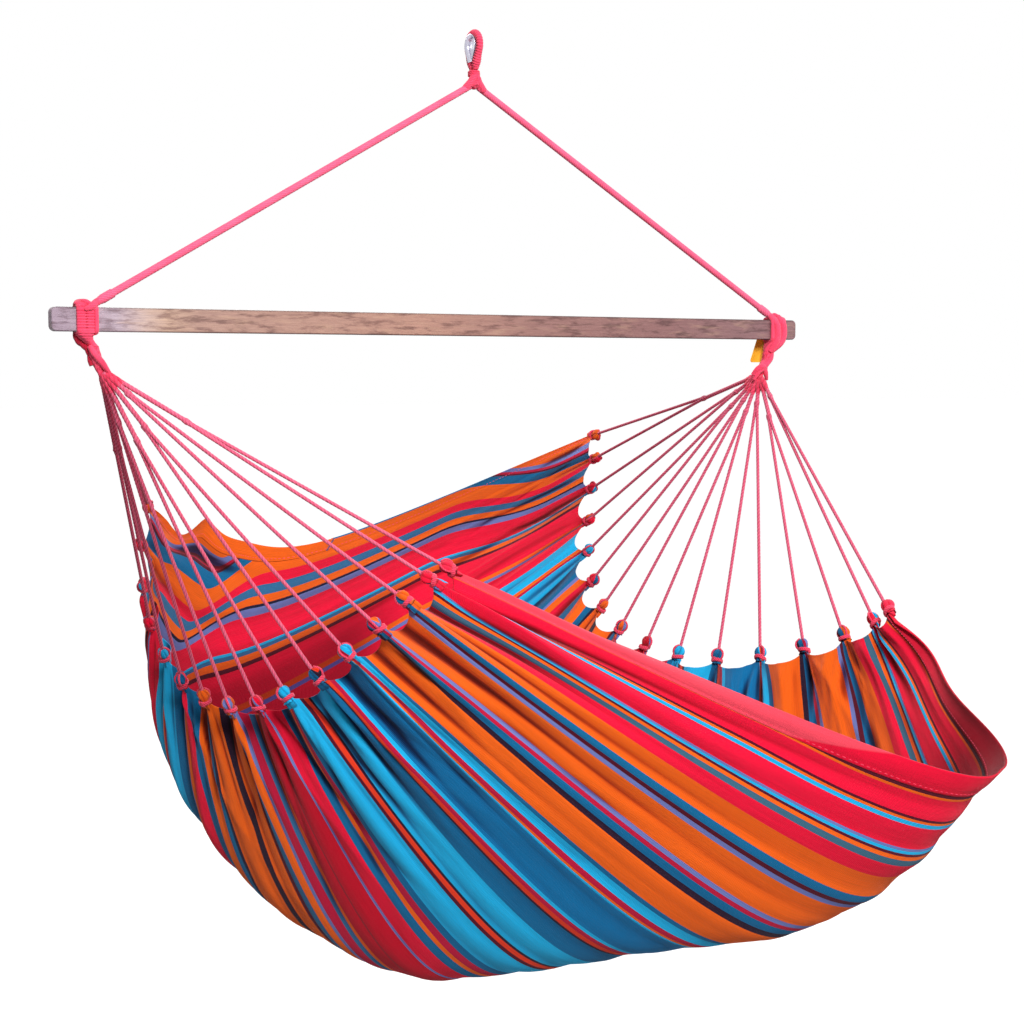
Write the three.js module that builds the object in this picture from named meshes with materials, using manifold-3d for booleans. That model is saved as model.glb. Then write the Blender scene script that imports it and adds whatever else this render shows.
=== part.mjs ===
// Hammock chair: a striped cloth seat slung on fans of cords from a wooden spreader bar,
// which hangs on two ropes from one eye. Millimetres, Z up, X along the bar, -Y to the open
// front of the seat. The origin is the crown of the thimble, where the hook bears.
import * as THREE from "three";
import { mergeVertices } from "three/addons/utils/BufferGeometryUtils.js";
import Module from "manifold-3d";

const wasm = await Module();
wasm.setup();

// Clearances
const GAP = 0.3;
const KNOT_GAP = 0.4;
const OVERRUN = 5;

// Spreader bar
const BAR_LENGTH = 1390;
const BAR_HEIGHT = 36;
const BAR_DEPTH = 20;
const BAR_CORNER = 7;
const BAR_EDGE = 1.5;
const BAR_SLID = -5;

// How the whole hangs: heights are taken from the middle of the bar
const HOOK_RISE = 472;
const LOOP_INSET = 48;
const HOOK_OFFSET = 10;

// Thimble and the eye of rope laid round it
const THIMBLE_RADIUS = 12;
const THIMBLE_WALL = 2;
const THIMBLE_LIP = 5;
const THIMBLE_DEPTH = 17;
const THIMBLE_MOUTH = 2;
const EYE_ROPE_RADIUS = 6;
const THROAT_ROPE_RADIUS = 5;
const EYE_DROP = 52;
const THROAT_HEIGHT = 4;
const SEIZING_RADIUS = 11;
const SEIZING_HEIGHT = 12;
const SEIZING_ROUND = 2;
const CROWN_RADIUS = 9.7;

// Suspension ropes
const ROPE_RADIUS = 5;
const SLEEVE_RADIUS = 7;
const SLEEVE_LENGTH = 26;
const SLEEVE_TAPER = 6;
const ROPE_END_RISE = 6.5;
const ROPE_END_FRONT = 6;
const ROPE_END_SHARE = 0.8;

// Loops of hitched cord round the bar
const LOOP_WIDTH = 34;
const LOOP_SKIN = 6;
const LOOP_ROLL = 11;
const LOOP_DROP = 20;
const LOOP_SQUARENESS = 3;
// Rows from top to bottom: part of the piece, height share in it, width share, depth share
const LOOP_ROLL_SHARES = [[1, 0.52, 0.36], [0.72, 0.84, 0.76], [0, 0.98, 1]];
const LOOP_SIDE_SHARES = [[0.5, 1, 1.02], [0.02, 0.98, 1]];
const LOOP_DROP_SHARES = [[0.4, 0.84, 0.86], [1, 0.54, 0.56]];

// Necks under the loops, from which the cords fan out
const NECK_TOP_RADIUS = 10;
const NECK_WAIST_RADIUS = 8;
const NECK_END_RADIUS = 12.5;
const NECK_CAP_SHARES = [[-0.99, 0.15], [-0.87, 0.5], [-0.6, 0.8], [0, 1]];
const NECK_FOOT_SHARES = [[-0.5, 0.86], [0, 1], [0.5, 0.86], [0.87, 0.5], [0.99, 0.15]];
const LEFT_NECK_LEAN = 11;
const RIGHT_NECK_LEAN = -16;
const LEFT_FAN_SHIFT = 9;
const LEFT_FAN_DROP = 25;
const RIGHT_FAN_SHIFT = -18;
const RIGHT_FAN_DROP = 34;

// Cords and the knots that hold the cloth
const CORD_LENGTH = 580;
const CORD_RADIUS = 2.8;
const BUNDLE_RADIUS = 3.3;
const BUNDLE_SPREAD_SHARE = 0.09;
const BRANCH_TIP_SHARE = 0.4;
const BRANCH_TAPER = 20;
const BUNDLE_TAPER = 8;
const LEFT_SPLIT_SHARES = [0.26, 0.1, 0.19, 0.21, 0.15, 0.24, 0.3, 0.2];
const RIGHT_SPLIT_SHARES = [0.1, 0.16, 0.1, 0.13, 0.1, 0.15, 0.12, 0.3];
const KNOTS_A_SIDE = 16;
const KNOT_LENGTH = 25;
const KNOT_RADIUS = 8;
// Along the knot towards the cloth, and out from its axis: tuft, then the cord's turns
const KNOT_SHARES = [[0.14, 0.72], [0.34, 1], [0.56, 0.82], [0.68, 0.55], [0.78, 0.7], [0.9, 0.7], [1, 0.5]];

// Cloth: span along the stripes, width across them
const CLOTH_SPAN = 1300;
const CLOTH_WIDTH = 1900;
const CLOTH_THICKNESS = 1.8;
const FRONT_HEM_WIDTH = 42;
const BACK_HEM_WIDTH = 24;
const HEM_THICKNESS = 4.2;
const SEAM_GAP = 1.6;

// Knotted edges, front to back: points of a curve as shares of the cord length, from the fan
const LEFT_EDGE_SHARES = [
  [0.86, -0.35, -0.54],
  [0.44, -0.71, -0.53],
  [0.41, -0.01, -1.38],
  [0.15, 0.54, -0.9],
  [0.39, 0.82, -0.42],
];
const RIGHT_EDGE_SHARES = [
  [-0.1, -0.74, -0.67],
  [0.03, -0.54, -0.85],
  [-0.82, 0.46, -1.26],
  [-0.06, 0.82, -0.55],
  [-0.01, 0.98, -0.22],
];
// Where the stripes turn, front to back: shares of the span, from the middle of the knots
const TURN_SHARES = [
  [0.183, -0.319, -0.185],
  [0.142, -0.224, -0.314],
  [0.013, -0.16, -0.324],
  [-0.122, -0.126, -0.346],
  [-0.24, -0.075, -0.287],
  [-0.297, -0.044, -0.203],
  [-0.2, -0.102, -0.107],
];
const TURN_SHARPNESS = [2.5, 3.1, 3];

// Folds
const PLEAT_DEPTH = 13;
const PLEAT_REACH = 170;
const SCALLOP_DEPTH = 24;
const SCALLOP_REACH = 60;
const PINCH_SHARE = 0.72;
const PINCH_REACH = 70;
const FRONT_WAVE = 14;
const FRONT_WAVE_PLACE_SHARES = [0.56, 0.98];
const FRONT_WAVE_FADE_SHARE = 0.06;
const HOOD_RISE = 28;
const HOOD_PLACE_SHARE = 0.27;
const HOOD_SPREAD_SHARE = 0.065;
const HOOD_START_SHARE = 0.92;
const ROW_SHARES = [
  0, 0.02, 0.06, 0.12, 0.2, 0.28, 0.35, 0.41, 0.46, 0.5, 0.54, 0.59, 0.65, 0.72, 0.8, 0.88,
  0.94, 0.98, 1,
];

// Plain tag behind the right neck
const TAG_WIDTH = 44;
const TAG_LENGTH = 56;
const TAG_THICKNESS = 1;
const TAG_DROP = 4;
const TAG_TILT_SHARE = 0.1;
const TAG_LEAN_SHARE = 0.3;

// Facets
const ROPE_SIDES = 12;
const CORD_SIDES = 8;
const LOOP_SIDES = 20;
const EYE_STEPS = 11;

const INTERVALS = KNOTS_A_SIDE - 1;
const LOOP_SPAN = BAR_LENGTH - 2 * LOOP_INSET;
const BAR_Z = -HOOK_RISE;
const LOOP_MIDDLE_X = -HOOK_OFFSET;
const SEIZING_TOP_Z = -EYE_DROP;
const CROWN_Z = SEIZING_TOP_Z - SEIZING_HEIGHT - GAP - CROWN_RADIUS;
const PIVOT_Z = BAR_Z - BAR_HEIGHT / 2 - LOOP_DROP - GAP - NECK_TOP_RADIUS;

const rope = new THREE.MeshStandardMaterial({ color: 0xe0335f, roughness: 0.85 });
const wood = new THREE.MeshStandardMaterial({ color: 0x6b4a3c, roughness: 0.6 });
const steel = new THREE.MeshStandardMaterial({ color: 0xb9bcc2, roughness: 0.3, metalness: 1 });
const stripes = new THREE.MeshStandardMaterial({ color: 0xd0432f, roughness: 0.9 });
const coral = new THREE.MeshStandardMaterial({ color: 0xe8304f, roughness: 0.9 });
const card = new THREE.MeshStandardMaterial({ color: 0xe0a24c, roughness: 0.8 });

const chair = new THREE.Group();
const vec = (x, y, z) => new THREE.Vector3(x, y, z);

function add(name, geometry, material) {
  const mesh = new THREE.Mesh(geometry, material);
  mesh.name = name;
  chair.add(mesh);
  return mesh;
}

function geometryOf(points, faces) {
  const flat = points.flatMap((p) => [p.x, p.y, p.z]);
  const geometry = new THREE.BufferGeometry();
  geometry.setAttribute("position", new THREE.Float32BufferAttribute(flat, 3));
  geometry.setIndex(faces.flat());
  return geometry;
}

function toSolid(geometry) {
  const bare = new THREE.BufferGeometry();
  bare.setAttribute("position", geometry.getAttribute("position"));
  bare.setIndex(geometry.getIndex());
  const merged = mergeVertices(bare, 1e-4);
  return new wasm.Manifold(
    new wasm.Mesh({
      numProp: 3,
      vertProperties: new Float32Array(merged.attributes.position.array),
      triVerts: new Uint32Array(merged.index.array),
    }),
  );
}

function fromSolid(solid) {
  const mesh = solid.getMesh();
  const geometry = new THREE.BufferGeometry();
  geometry.setAttribute("position", new THREE.BufferAttribute(mesh.vertProperties, 3));
  geometry.setIndex(new THREE.BufferAttribute(mesh.triVerts, 1));
  return geometry;
}

// Skins a row of closed rings, all with as many points, and closes both ends
function skin(rings) {
  const sides = rings[0].length;
  const points = rings.flat();
  const faces = [];
  for (let r = 0; r < rings.length - 1; r++) {
    for (let i = 0; i < sides; i++) {
      const j = (i + 1) % sides;
      const [a, b, c, d] = [r * sides + i, r * sides + j, (r + 1) * sides + j, (r + 1) * sides + i];
      faces.push([a, b, c], [a, c, d]);
    }
  }
  const last = (rings.length - 1) * sides;
  for (let i = 1; i < sides - 1; i++) {
    faces.push([0, i + 1, i], [last, last + i, last + i + 1]);
  }
  return geometryOf(points, faces);
}

// A round bar of changing radius along a route of points
function tube(route, radii, sides) {
  const rings = [];
  let across = null;
  route.forEach((p, k) => {
    const before = route[Math.max(k - 1, 0)];
    const after = route[Math.min(k + 1, route.length - 1)];
    const along = after.clone().sub(before).normalize();
    if (!across) across = Math.abs(along.z) < 0.9 ? vec(0, 0, 1) : vec(1, 0, 0);
    across = across.clone().addScaledVector(along, -across.dot(along)).normalize();
    const other = along.clone().cross(across);
    rings.push(
      Array.from({ length: sides }, (_, i) => {
        const angle = (2 * Math.PI * i) / sides;
        return p
          .clone()
          .addScaledVector(across, radii[k] * Math.cos(angle))
          .addScaledVector(other, radii[k] * Math.sin(angle));
      }),
    );
  });
  return skin(rings);
}

// Points at given distances along a straight line
function stations(from, to, distances) {
  const along = to.clone().sub(from).normalize();
  return distances.map((d) => from.clone().addScaledVector(along, d));
}

// The thimble and the rope eye follow one drop-shaped outline in the YZ plane: a round
// crown, then two straight legs that lean in until the ropes touch at the throat.
const LAY_RADIUS = THIMBLE_RADIUS + THIMBLE_WALL + GAP + EYE_ROPE_RADIUS;
const THROAT_HALF = THROAT_ROPE_RADIUS + GAP;
const EYE_CENTRE_Z = -THIMBLE_RADIUS;

function legAngle() {
  const down = EYE_DROP - THROAT_HEIGHT - THIMBLE_RADIUS;
  const reach = Math.hypot(THROAT_HALF, down);
  return Math.acos(LAY_RADIUS / reach) - Math.atan2(down, THROAT_HALF);
}

function crownArc(radius) {
  const lean = legAngle();
  const sweep = Math.PI - 2 * lean;
  const corner = radius / Math.cos(sweep / EYE_STEPS / 2);
  return Array.from({ length: EYE_STEPS + 1 }, (_, i) => {
    const angle = lean + (sweep * i) / EYE_STEPS;
    return { y: corner * Math.cos(angle), z: EYE_CENTRE_Z + corner * Math.sin(angle) };
  });
}

function buildThimble() {
  const lean = legAngle();
  const half = THIMBLE_DEPTH / 2;
  const flat = half - THIMBLE_LIP + THIMBLE_WALL / 2;
  const section = [
    [0, -flat],
    [0, flat],
    [THIMBLE_LIP - THIMBLE_WALL / 4, half],
    [THIMBLE_LIP, half - THIMBLE_WALL / 2],
    [THIMBLE_WALL, flat - THIMBLE_WALL / 4],
    [THIMBLE_WALL, THIMBLE_WALL / 4 - flat],
    [THIMBLE_LIP, THIMBLE_WALL / 2 - half],
    [THIMBLE_LIP - THIMBLE_WALL / 4, -half],
  ];
  const arc = crownArc(THIMBLE_RADIUS);
  // The legs end beside each other, a mouth's width apart
  const tipY = THIMBLE_MOUTH / 2;
  const edge = THIMBLE_RADIUS;
  const tipZ = EYE_CENTRE_Z + (edge - tipY * Math.cos(lean)) / Math.sin(lean);
  const route = [{ y: tipY, z: tipZ }, ...arc, { y: -tipY, z: tipZ }];
  const rings = route.map((p, k) => {
    const i = Math.min(Math.max(k - 1, 0), EYE_STEPS);
    const angle = lean + ((Math.PI - 2 * lean) * i) / EYE_STEPS;
    return section.map(([out, x]) => vec(x, p.y + out * Math.cos(angle), p.z + out * Math.sin(angle)));
  });
  add("steel_thimble", skin(rings), steel);
}

function buildEye() {
  const arc = crownArc(LAY_RADIUS).map((p) => vec(0, p.y, p.z));
  const leg = [THROAT_HEIGHT - EYE_DROP, GAP - EYE_DROP];
  const right = leg.map((z) => vec(0, THROAT_HALF, z)).reverse();
  const left = leg.map((z) => vec(0, -THROAT_HALF, z));
  const throat = leg.map(() => THROAT_ROPE_RADIUS);
  const radii = [...throat, ...arc.map(() => EYE_ROPE_RADIUS), ...throat];
  add("top_eye", tube([...right, ...arc, ...left], radii, ROPE_SIDES), rope);
}

function buildThroat() {
  const outline = [
    [0, 0],
    [SEIZING_RADIUS - SEIZING_ROUND, 0],
    [SEIZING_RADIUS, SEIZING_ROUND],
    [SEIZING_RADIUS, SEIZING_HEIGHT - SEIZING_ROUND],
    [SEIZING_RADIUS - SEIZING_ROUND, SEIZING_HEIGHT],
    [0, SEIZING_HEIGHT],
  ].map(([r, z]) => new THREE.Vector2(r, z));
  const seizing = new THREE.LatheGeometry(outline, 2 * ROPE_SIDES);
  seizing.rotateX(Math.PI / 2);
  seizing.translate(0, 0, SEIZING_TOP_Z - SEIZING_HEIGHT);
  add("top_seizing", seizing, rope);
  const ball = new THREE.SphereGeometry(CROWN_RADIUS, 2 * ROPE_SIDES, ROPE_SIDES);
  ball.rotateX(Math.PI / 2);
  ball.translate(0, 0, CROWN_Z);
  add("crown_knot", ball, rope);
}

function buildBar() {
  const x = BAR_LENGTH / 2 - BAR_EDGE;
  const z = BAR_HEIGHT / 2 - BAR_EDGE;
  const face = new THREE.Shape();
  face.moveTo(BAR_CORNER - x, -z);
  face.lineTo(x - BAR_CORNER, -z);
  face.absarc(x - BAR_CORNER, BAR_CORNER - z, BAR_CORNER, -Math.PI / 2, 0);
  face.absarc(x - BAR_CORNER, z - BAR_CORNER, BAR_CORNER, 0, Math.PI / 2);
  face.absarc(BAR_CORNER - x, z - BAR_CORNER, BAR_CORNER, Math.PI / 2, Math.PI);
  face.absarc(BAR_CORNER - x, BAR_CORNER - z, BAR_CORNER, Math.PI, 1.5 * Math.PI);
  const bar = new THREE.ExtrudeGeometry(face, {
    depth: BAR_DEPTH - 2 * BAR_EDGE,
    bevelEnabled: true,
    bevelThickness: BAR_EDGE,
    bevelSize: BAR_EDGE,
    bevelSegments: 2,
    curveSegments: 5,
  });
  bar.translate(0, 0, BAR_EDGE - BAR_DEPTH / 2);
  bar.rotateX(Math.PI / 2);
  bar.translate(LOOP_MIDDLE_X + BAR_SLID, 0, BAR_Z);
  add("spreader_bar", bar, wood);
}

// Left and right halves differ in how far the neck leans and where the fan starts
function sideOf(sign) {
  const left = sign < 0;
  const loopX = LOOP_MIDDLE_X + (sign * LOOP_SPAN) / 2;
  const pivot = vec(loopX + (left ? LEFT_NECK_LEAN : RIGHT_NECK_LEAN), 0, PIVOT_Z);
  const shift = left ? LEFT_FAN_SHIFT : RIGHT_FAN_SHIFT;
  const drop = left ? LEFT_FAN_DROP : RIGHT_FAN_DROP;
  return {
    name: left ? "left" : "right",
    sign,
    loopX,
    pivot,
    fan: vec(pivot.x + shift, 0, pivot.z - drop),
    edge: left ? LEFT_EDGE_SHARES : RIGHT_EDGE_SHARES,
    splits: left ? LEFT_SPLIT_SHARES : RIGHT_SPLIT_SHARES,
  };
}
const LEFT = sideOf(-1);
const RIGHT = sideOf(1);

// Cross-sections of a bar loop, grown on every side by a clearance
function loopSkin(side, grow) {
  const top = BAR_Z + BAR_HEIGHT / 2;
  const bottom = BAR_Z - BAR_HEIGHT / 2;
  const rows = [
    ...LOOP_ROLL_SHARES.map(([h, w, d]) => [top + h * LOOP_ROLL, w, d]),
    ...LOOP_SIDE_SHARES.map(([h, w, d]) => [bottom + h * BAR_HEIGHT, w, d]),
    ...LOOP_DROP_SHARES.map(([h, w, d]) => [bottom - h * LOOP_DROP, w, d]),
  ];
  const halfWide = LOOP_WIDTH / 2;
  const halfDeep = BAR_DEPTH / 2 + LOOP_SKIN;
  const rings = rows.map(([z, w, d], k) => {
    const fall = Math.max(0, (bottom - z) / (bottom - side.pivot.z));
    const x = side.loopX + (side.pivot.x - side.loopX) * fall;
    const lift = k ? 0 : grow;
    return Array.from({ length: LOOP_SIDES }, (_, i) => {
      const angle = (-2 * Math.PI * i) / LOOP_SIDES;
      const [c, s] = [Math.cos(angle), Math.sin(angle)];
      const round = (c ** 2) ** (1 / LOOP_SQUARENESS);
      const blunt = (s ** 2) ** (1 / LOOP_SQUARENESS);
      const px = x + Math.sign(c) * round * (halfWide * w + grow);
      return vec(px, Math.sign(s) * blunt * (halfDeep * d + grow), z + lift);
    });
  });
  return skin(rings);
}

function buildLoop(side) {
  const tunnel = new THREE.BoxGeometry(
    LOOP_WIDTH + 2 * OVERRUN,
    BAR_DEPTH + 2 * GAP,
    BAR_HEIGHT + 2 * GAP,
  );
  tunnel.translate(side.loopX, 0, BAR_Z);
  const loop = toSolid(loopSkin(side, 0)).subtract(toSolid(tunnel));
  add("bar_loop_" + side.name, fromSolid(loop), rope);
}

function buildRope(side) {
  const crown = vec(0, 0, CROWN_Z);
  const top = BAR_Z + BAR_HEIGHT / 2;
  const footX = side.loopX - (side.sign * ROPE_END_SHARE * LOOP_WIDTH) / 2;
  const foot = vec(footX, -ROPE_END_FRONT, top + ROPE_END_RISE);
  const length = crown.distanceTo(foot);
  const sleeveEnd = length - SLEEVE_TAPER;
  const sleeveStart = sleeveEnd - SLEEVE_LENGTH;
  const distances = [
    CROWN_RADIUS + GAP,
    sleeveStart,
    sleeveStart + SLEEVE_TAPER,
    sleeveEnd - SLEEVE_TAPER,
    sleeveEnd,
    length,
  ];
  const radii = [
    ROPE_RADIUS,
    ROPE_RADIUS,
    SLEEVE_RADIUS,
    SLEEVE_RADIUS,
    ROPE_RADIUS,
    ROPE_RADIUS,
  ];
  const line = toSolid(tube(stations(crown, foot, distances), radii, ROPE_SIDES));
  const outside = line.subtract(toSolid(loopSkin(side, GAP)));
  const kept = outside.decompose().sort((a, b) => b.volume() - a.volume())[0];
  add("suspension_rope_" + side.name, fromSolid(kept), rope);
}

function buildNeck(side) {
  const length = side.pivot.distanceTo(side.fan);
  const rows = [
    ...NECK_CAP_SHARES.map(([d, r]) => [d * NECK_TOP_RADIUS, r * NECK_TOP_RADIUS]),
    [length / 2 - GAP, NECK_WAIST_RADIUS],
    ...NECK_FOOT_SHARES.map(([d, r]) => [length + d * NECK_END_RADIUS, r * NECK_END_RADIUS]),
  ];
  const route = stations(side.pivot, side.fan, rows.map((row) => row[0]));
  add("neck_binding_" + side.name, tube(route, rows.map((row) => row[1]), ROPE_SIDES), rope);
}

// Curves through or near tables of points
function bezier(points, t) {
  let row = points.map((p) => p.clone());
  while (row.length > 1) row = row.slice(1).map((p, i) => row[i].clone().lerp(p, t));
  return row[0];
}

function through(points, t) {
  const last = points.length - 1;
  const i = Math.min(Math.floor(t * last), last - 1);
  const f = t * last - i;
  const at = (k) => {
    if (k < 0) return points[0].clone().multiplyScalar(2).sub(points[1]);
    if (k > last) return points[last].clone().multiplyScalar(2).sub(points[last - 1]);
    return points[k];
  };
  const [a, b, c, d] = [at(i - 1), at(i), at(i + 1), at(i + 2)];
  return b
    .clone()
    .multiplyScalar(2)
    .add(c.clone().sub(a).multiplyScalar(f))
    .add(a.clone().multiplyScalar(2).addScaledVector(b, -5).addScaledVector(c, 4).sub(d).multiplyScalar(f * f))
    .add(b.clone().multiplyScalar(3).sub(a).addScaledVector(c, -3).add(d).multiplyScalar(f ** 3))
    .multiplyScalar(0.5);
}

const edgePoints = (side) =>
  side.edge.map(([x, y, z]) => side.fan.clone().addScaledVector(vec(x, y, z), CORD_LENGTH));
const LEFT_EDGE = edgePoints(LEFT);
const RIGHT_EDGE = edgePoints(RIGHT);
const TURN = TURN_SHARES.map(([x, y, z], i) => {
  const s = i / (TURN_SHARES.length - 1);
  const middle = bezier(LEFT_EDGE, s).lerp(bezier(RIGHT_EDGE, s), 0.5);
  return middle.addScaledVector(vec(x, y, z), CLOTH_SPAN);
});

// One stripe: a conic from the left edge to the right edge that turns at its middle.
// s runs across the stripes from front to back, u along them from left to right.
function stripePoint(s, u) {
  const [front, middle, back] = TURN_SHARPNESS;
  const w = s < 0.5 ? front + (middle - front) * 2 * s : middle + (back - middle) * (2 * s - 1);
  const left = bezier(LEFT_EDGE, s);
  const right = bezier(RIGHT_EDGE, s);
  const turn = through(TURN, s);
  const pull = turn
    .multiplyScalar(2 * (1 + w))
    .sub(left)
    .sub(right)
    .multiplyScalar(1 / (2 * w));
  const f = (4 * w * Math.min(u, 1 - u)) / (1 + 2 * w);
  const ratio = f / (2 * w * (1 - f));
  const t = u < 0.5 ? ratio / (1 + ratio) : 1 / (1 + ratio);
  const [a, b, c] = [(1 - t) ** 2, 2 * w * t * (1 - t), t * t];
  return left
    .multiplyScalar(a)
    .addScaledVector(pull, b)
    .addScaledVector(right, c)
    .multiplyScalar(1 / (a + b + c));
}

const within = (value, low, high) => Math.min(Math.max(value, low), high);
const hump = (x) => Math.exp(-x * x);

// The middle surface of the hanging cloth, folds included, and its outward direction
function clothPoint(s, u) {
  const reach = Math.min(u, 1 - u) * CLOTH_SPAN;
  const phase = 2 * Math.PI * s * INTERVALS;
  const between = (1 - Math.cos(phase)) / 2;
  const pinch = PINCH_SHARE * Math.exp(-reach / PINCH_REACH);
  const across = within(s - (pinch * Math.sin(phase)) / (2 * Math.PI * INTERVALS), 0, 1);
  const fall = (SCALLOP_DEPTH / CLOTH_SPAN) * between * Math.exp(-reach / SCALLOP_REACH);
  const along = u < 0.5 ? u + fall : u - fall;
  const step = 1e-3;
  const low = within(across - step, 0, 1 - 2 * step);
  const ds = stripePoint(low + 2 * step, along).sub(stripePoint(low, along));
  const start = within(along - step, 0, 1 - 2 * step);
  const du = stripePoint(across, start + 2 * step).sub(stripePoint(across, start));
  const out = ds.cross(du).normalize();
  const point = stripePoint(across, along);
  point.addScaledVector(out, -PLEAT_DEPTH * between * Math.exp(-reach / PLEAT_REACH));
  const [from, to] = FRONT_WAVE_PLACE_SHARES;
  const place = within((u - from) / (to - from), 0, 1);
  const wave = Math.sin(place * 3 * Math.PI) * Math.exp(-s / FRONT_WAVE_FADE_SHARE);
  point.addScaledVector(out, FRONT_WAVE * wave);
  const back = within((s - HOOD_START_SHARE) / (1 - HOOD_START_SHARE), 0, 1);
  const hood = hump((u - HOOD_PLACE_SHARE) / HOOD_SPREAD_SHARE) * back * back;
  const ease = 1 - Math.exp(-reach / SCALLOP_REACH);
  point.z += HOOD_RISE * hood * ease;
  return { point, out };
}

// A sheet of given thickness over a grid of places on the cloth
function sheet(across, along, thickness) {
  const outer = [];
  const inner = [];
  across.forEach((s) =>
    along.forEach((u) => {
      const { point, out } = clothPoint(s, u);
      outer.push(point.clone().addScaledVector(out, thickness / 2));
      inner.push(point.addScaledVector(out, -thickness / 2));
    }),
  );
  const [rows, columns] = [across.length, along.length];
  const count = outer.length;
  const faces = [];
  const quad = (a, b, c, d) => faces.push([a, b, c], [a, c, d]);
  for (let i = 0; i < rows - 1; i++) {
    for (let j = 0; j < columns - 1; j++) {
      const a = i * columns + j;
      quad(a, a + columns, a + columns + 1, a + 1);
      quad(count + a, count + a + 1, count + a + columns + 1, count + a + columns);
    }
  }
  const rim = [];
  for (let j = 0; j < columns - 1; j++) rim.push(j);
  for (let i = 0; i < rows - 1; i++) rim.push(i * columns + columns - 1);
  for (let j = columns - 1; j > 0; j--) rim.push((rows - 1) * columns + j);
  for (let i = rows - 1; i > 0; i--) rim.push(i * columns);
  rim.forEach((a, k) => {
    const b = rim[(k + 1) % rim.length];
    quad(a, b, count + b, count + a);
  });
  return geometryOf([...outer, ...inner], faces);
}

const FRONT_SEAM = FRONT_HEM_WIDTH / CLOTH_WIDTH;
const BACK_SEAM = 1 - BACK_HEM_WIDTH / CLOTH_WIDTH;
const SEAM_SHARE = SEAM_GAP / CLOTH_WIDTH;

function clothColumns() {
  const steps = 2 * INTERVALS;
  const columns = [FRONT_SEAM + SEAM_SHARE];
  for (let i = 1; i < steps; i++) columns.push(i / steps);
  columns.push(BACK_SEAM - SEAM_SHARE);
  return columns;
}
const COLUMNS = clothColumns();
const FRONT_HEM_PLACES = [0, FRONT_SEAM];
const BACK_HEM_PLACES = [BACK_SEAM, 1];

function buildCloth() {
  add("seat_cloth", sheet(COLUMNS, ROW_SHARES, CLOTH_THICKNESS), stripes);
  add("front_hem", sheet(FRONT_HEM_PLACES, ROW_SHARES, HEM_THICKNESS), coral);
  add("back_hem", sheet(BACK_HEM_PLACES, ROW_SHARES, HEM_THICKNESS), stripes);
}

// What a knot stays clear of: the cloth thickened, and the hems moved a little every way
const WAYS = [-KNOT_GAP, 0, KNOT_GAP];
const SHIFTS = WAYS.flatMap((x) => WAYS.flatMap((y) => WAYS.map((z) => [x, y, z])));
const HEM_SOLIDS = [FRONT_HEM_PLACES, BACK_HEM_PLACES].flatMap((places) => {
  const hem = toSolid(sheet(places, ROW_SHARES, HEM_THICKNESS));
  return SHIFTS.map((shift) => hem.translate(shift));
});
const THICK_CLOTH = toSolid(sheet(COLUMNS, ROW_SHARES, CLOTH_THICKNESS + 2 * KNOT_GAP));
const EDGE_SHIFTS = [
  [-KNOT_GAP, 0, 0],
  [KNOT_GAP, 0, 0],
  [0, -KNOT_GAP, 0],
  [0, KNOT_GAP, 0],
];
const CLOTH_SOLIDS = [...HEM_SOLIDS, ...EDGE_SHIFTS.map((shift) => THICK_CLOTH.translate(shift))];

// A cord cut where it meets the cloth; scraps on the cloth's far side are dropped
function seated(cord) {
  let solid = toSolid(cord);
  CLOTH_SOLIDS.forEach((cloth) => {
    solid = solid.subtract(cloth);
  });
  const cut = solid.simplify(KNOT_GAP / 4);
  return fromSolid(cut.decompose().sort((a, b) => b.volume() - a.volume())[0]);
}

// Where knot number k of a side seats on the cloth
function knotPlace(side, k) {
  let s = k / INTERVALS;
  if (k === 0) s = FRONT_SEAM / 2;
  if (k === INTERVALS) s = (1 + BACK_SEAM) / 2;
  return clothPoint(s, side.sign < 0 ? 0 : 1).point;
}

// The last stretch of a cord and its knot, as distances from the cord's kink and radii
function knotRows(length) {
  const start = length - KNOT_LENGTH;
  return [
    [start, CORD_RADIUS],
    ...KNOT_SHARES.map(([d, r]) => [start + d * KNOT_LENGTH, r * KNOT_RADIUS]),
  ];
}

// Cords leave the neck in pairs: the first of a pair runs all the way, and the second
// parts from it at the splice.
function buildPair(side, pair) {
  const [first, second] = [knotPlace(side, 2 * pair), knotPlace(side, 2 * pair + 1)];
  const unit = (p) => p.clone().sub(side.fan).normalize();
  const heading = unit(first).add(unit(second)).normalize();
  const splice = side.fan.clone().addScaledVector(heading, side.splits[pair] * CORD_LENGTH);
  const begin = NECK_END_RADIUS + GAP;
  const full = BUNDLE_RADIUS / BUNDLE_SPREAD_SHARE;
  const length = splice.distanceTo(first);
  const rows = [[BUNDLE_TAPER, CORD_RADIUS], ...knotRows(length)];
  const route = [
    ...stations(side.fan, splice, [begin, full]),
    splice,
    ...stations(splice, first, rows.map((row) => row[0])),
  ];
  const tip = begin * BUNDLE_SPREAD_SHARE;
  const radii = [tip, BUNDLE_RADIUS, BUNDLE_RADIUS, ...rows.map((row) => row[1])];
  add(cordName(side, 2 * pair), seated(tube(route, radii, CORD_SIDES)), rope);

  const along = first.clone().sub(splice).normalize();
  const apart = second.clone().sub(splice);
  apart.addScaledVector(along, -apart.dot(along)).normalize();
  const offset = BUNDLE_RADIUS + BRANCH_TIP_SHARE * CORD_RADIUS + GAP;
  const root = splice.clone().addScaledVector(apart, offset);
  const branchRows = [
    [0, BRANCH_TIP_SHARE * CORD_RADIUS],
    [BRANCH_TAPER, CORD_RADIUS],
    ...knotRows(root.distanceTo(second)),
  ];
  const branch = stations(root, second, branchRows.map((row) => row[0]));
  const branchCord = tube(branch, branchRows.map((row) => row[1]), CORD_SIDES);
  add(cordName(side, 2 * pair + 1), seated(branchCord), rope);
}

const cordName = (side, k) => "cord_" + side.name + "_" + String(k + 1).padStart(2, "0");

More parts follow.
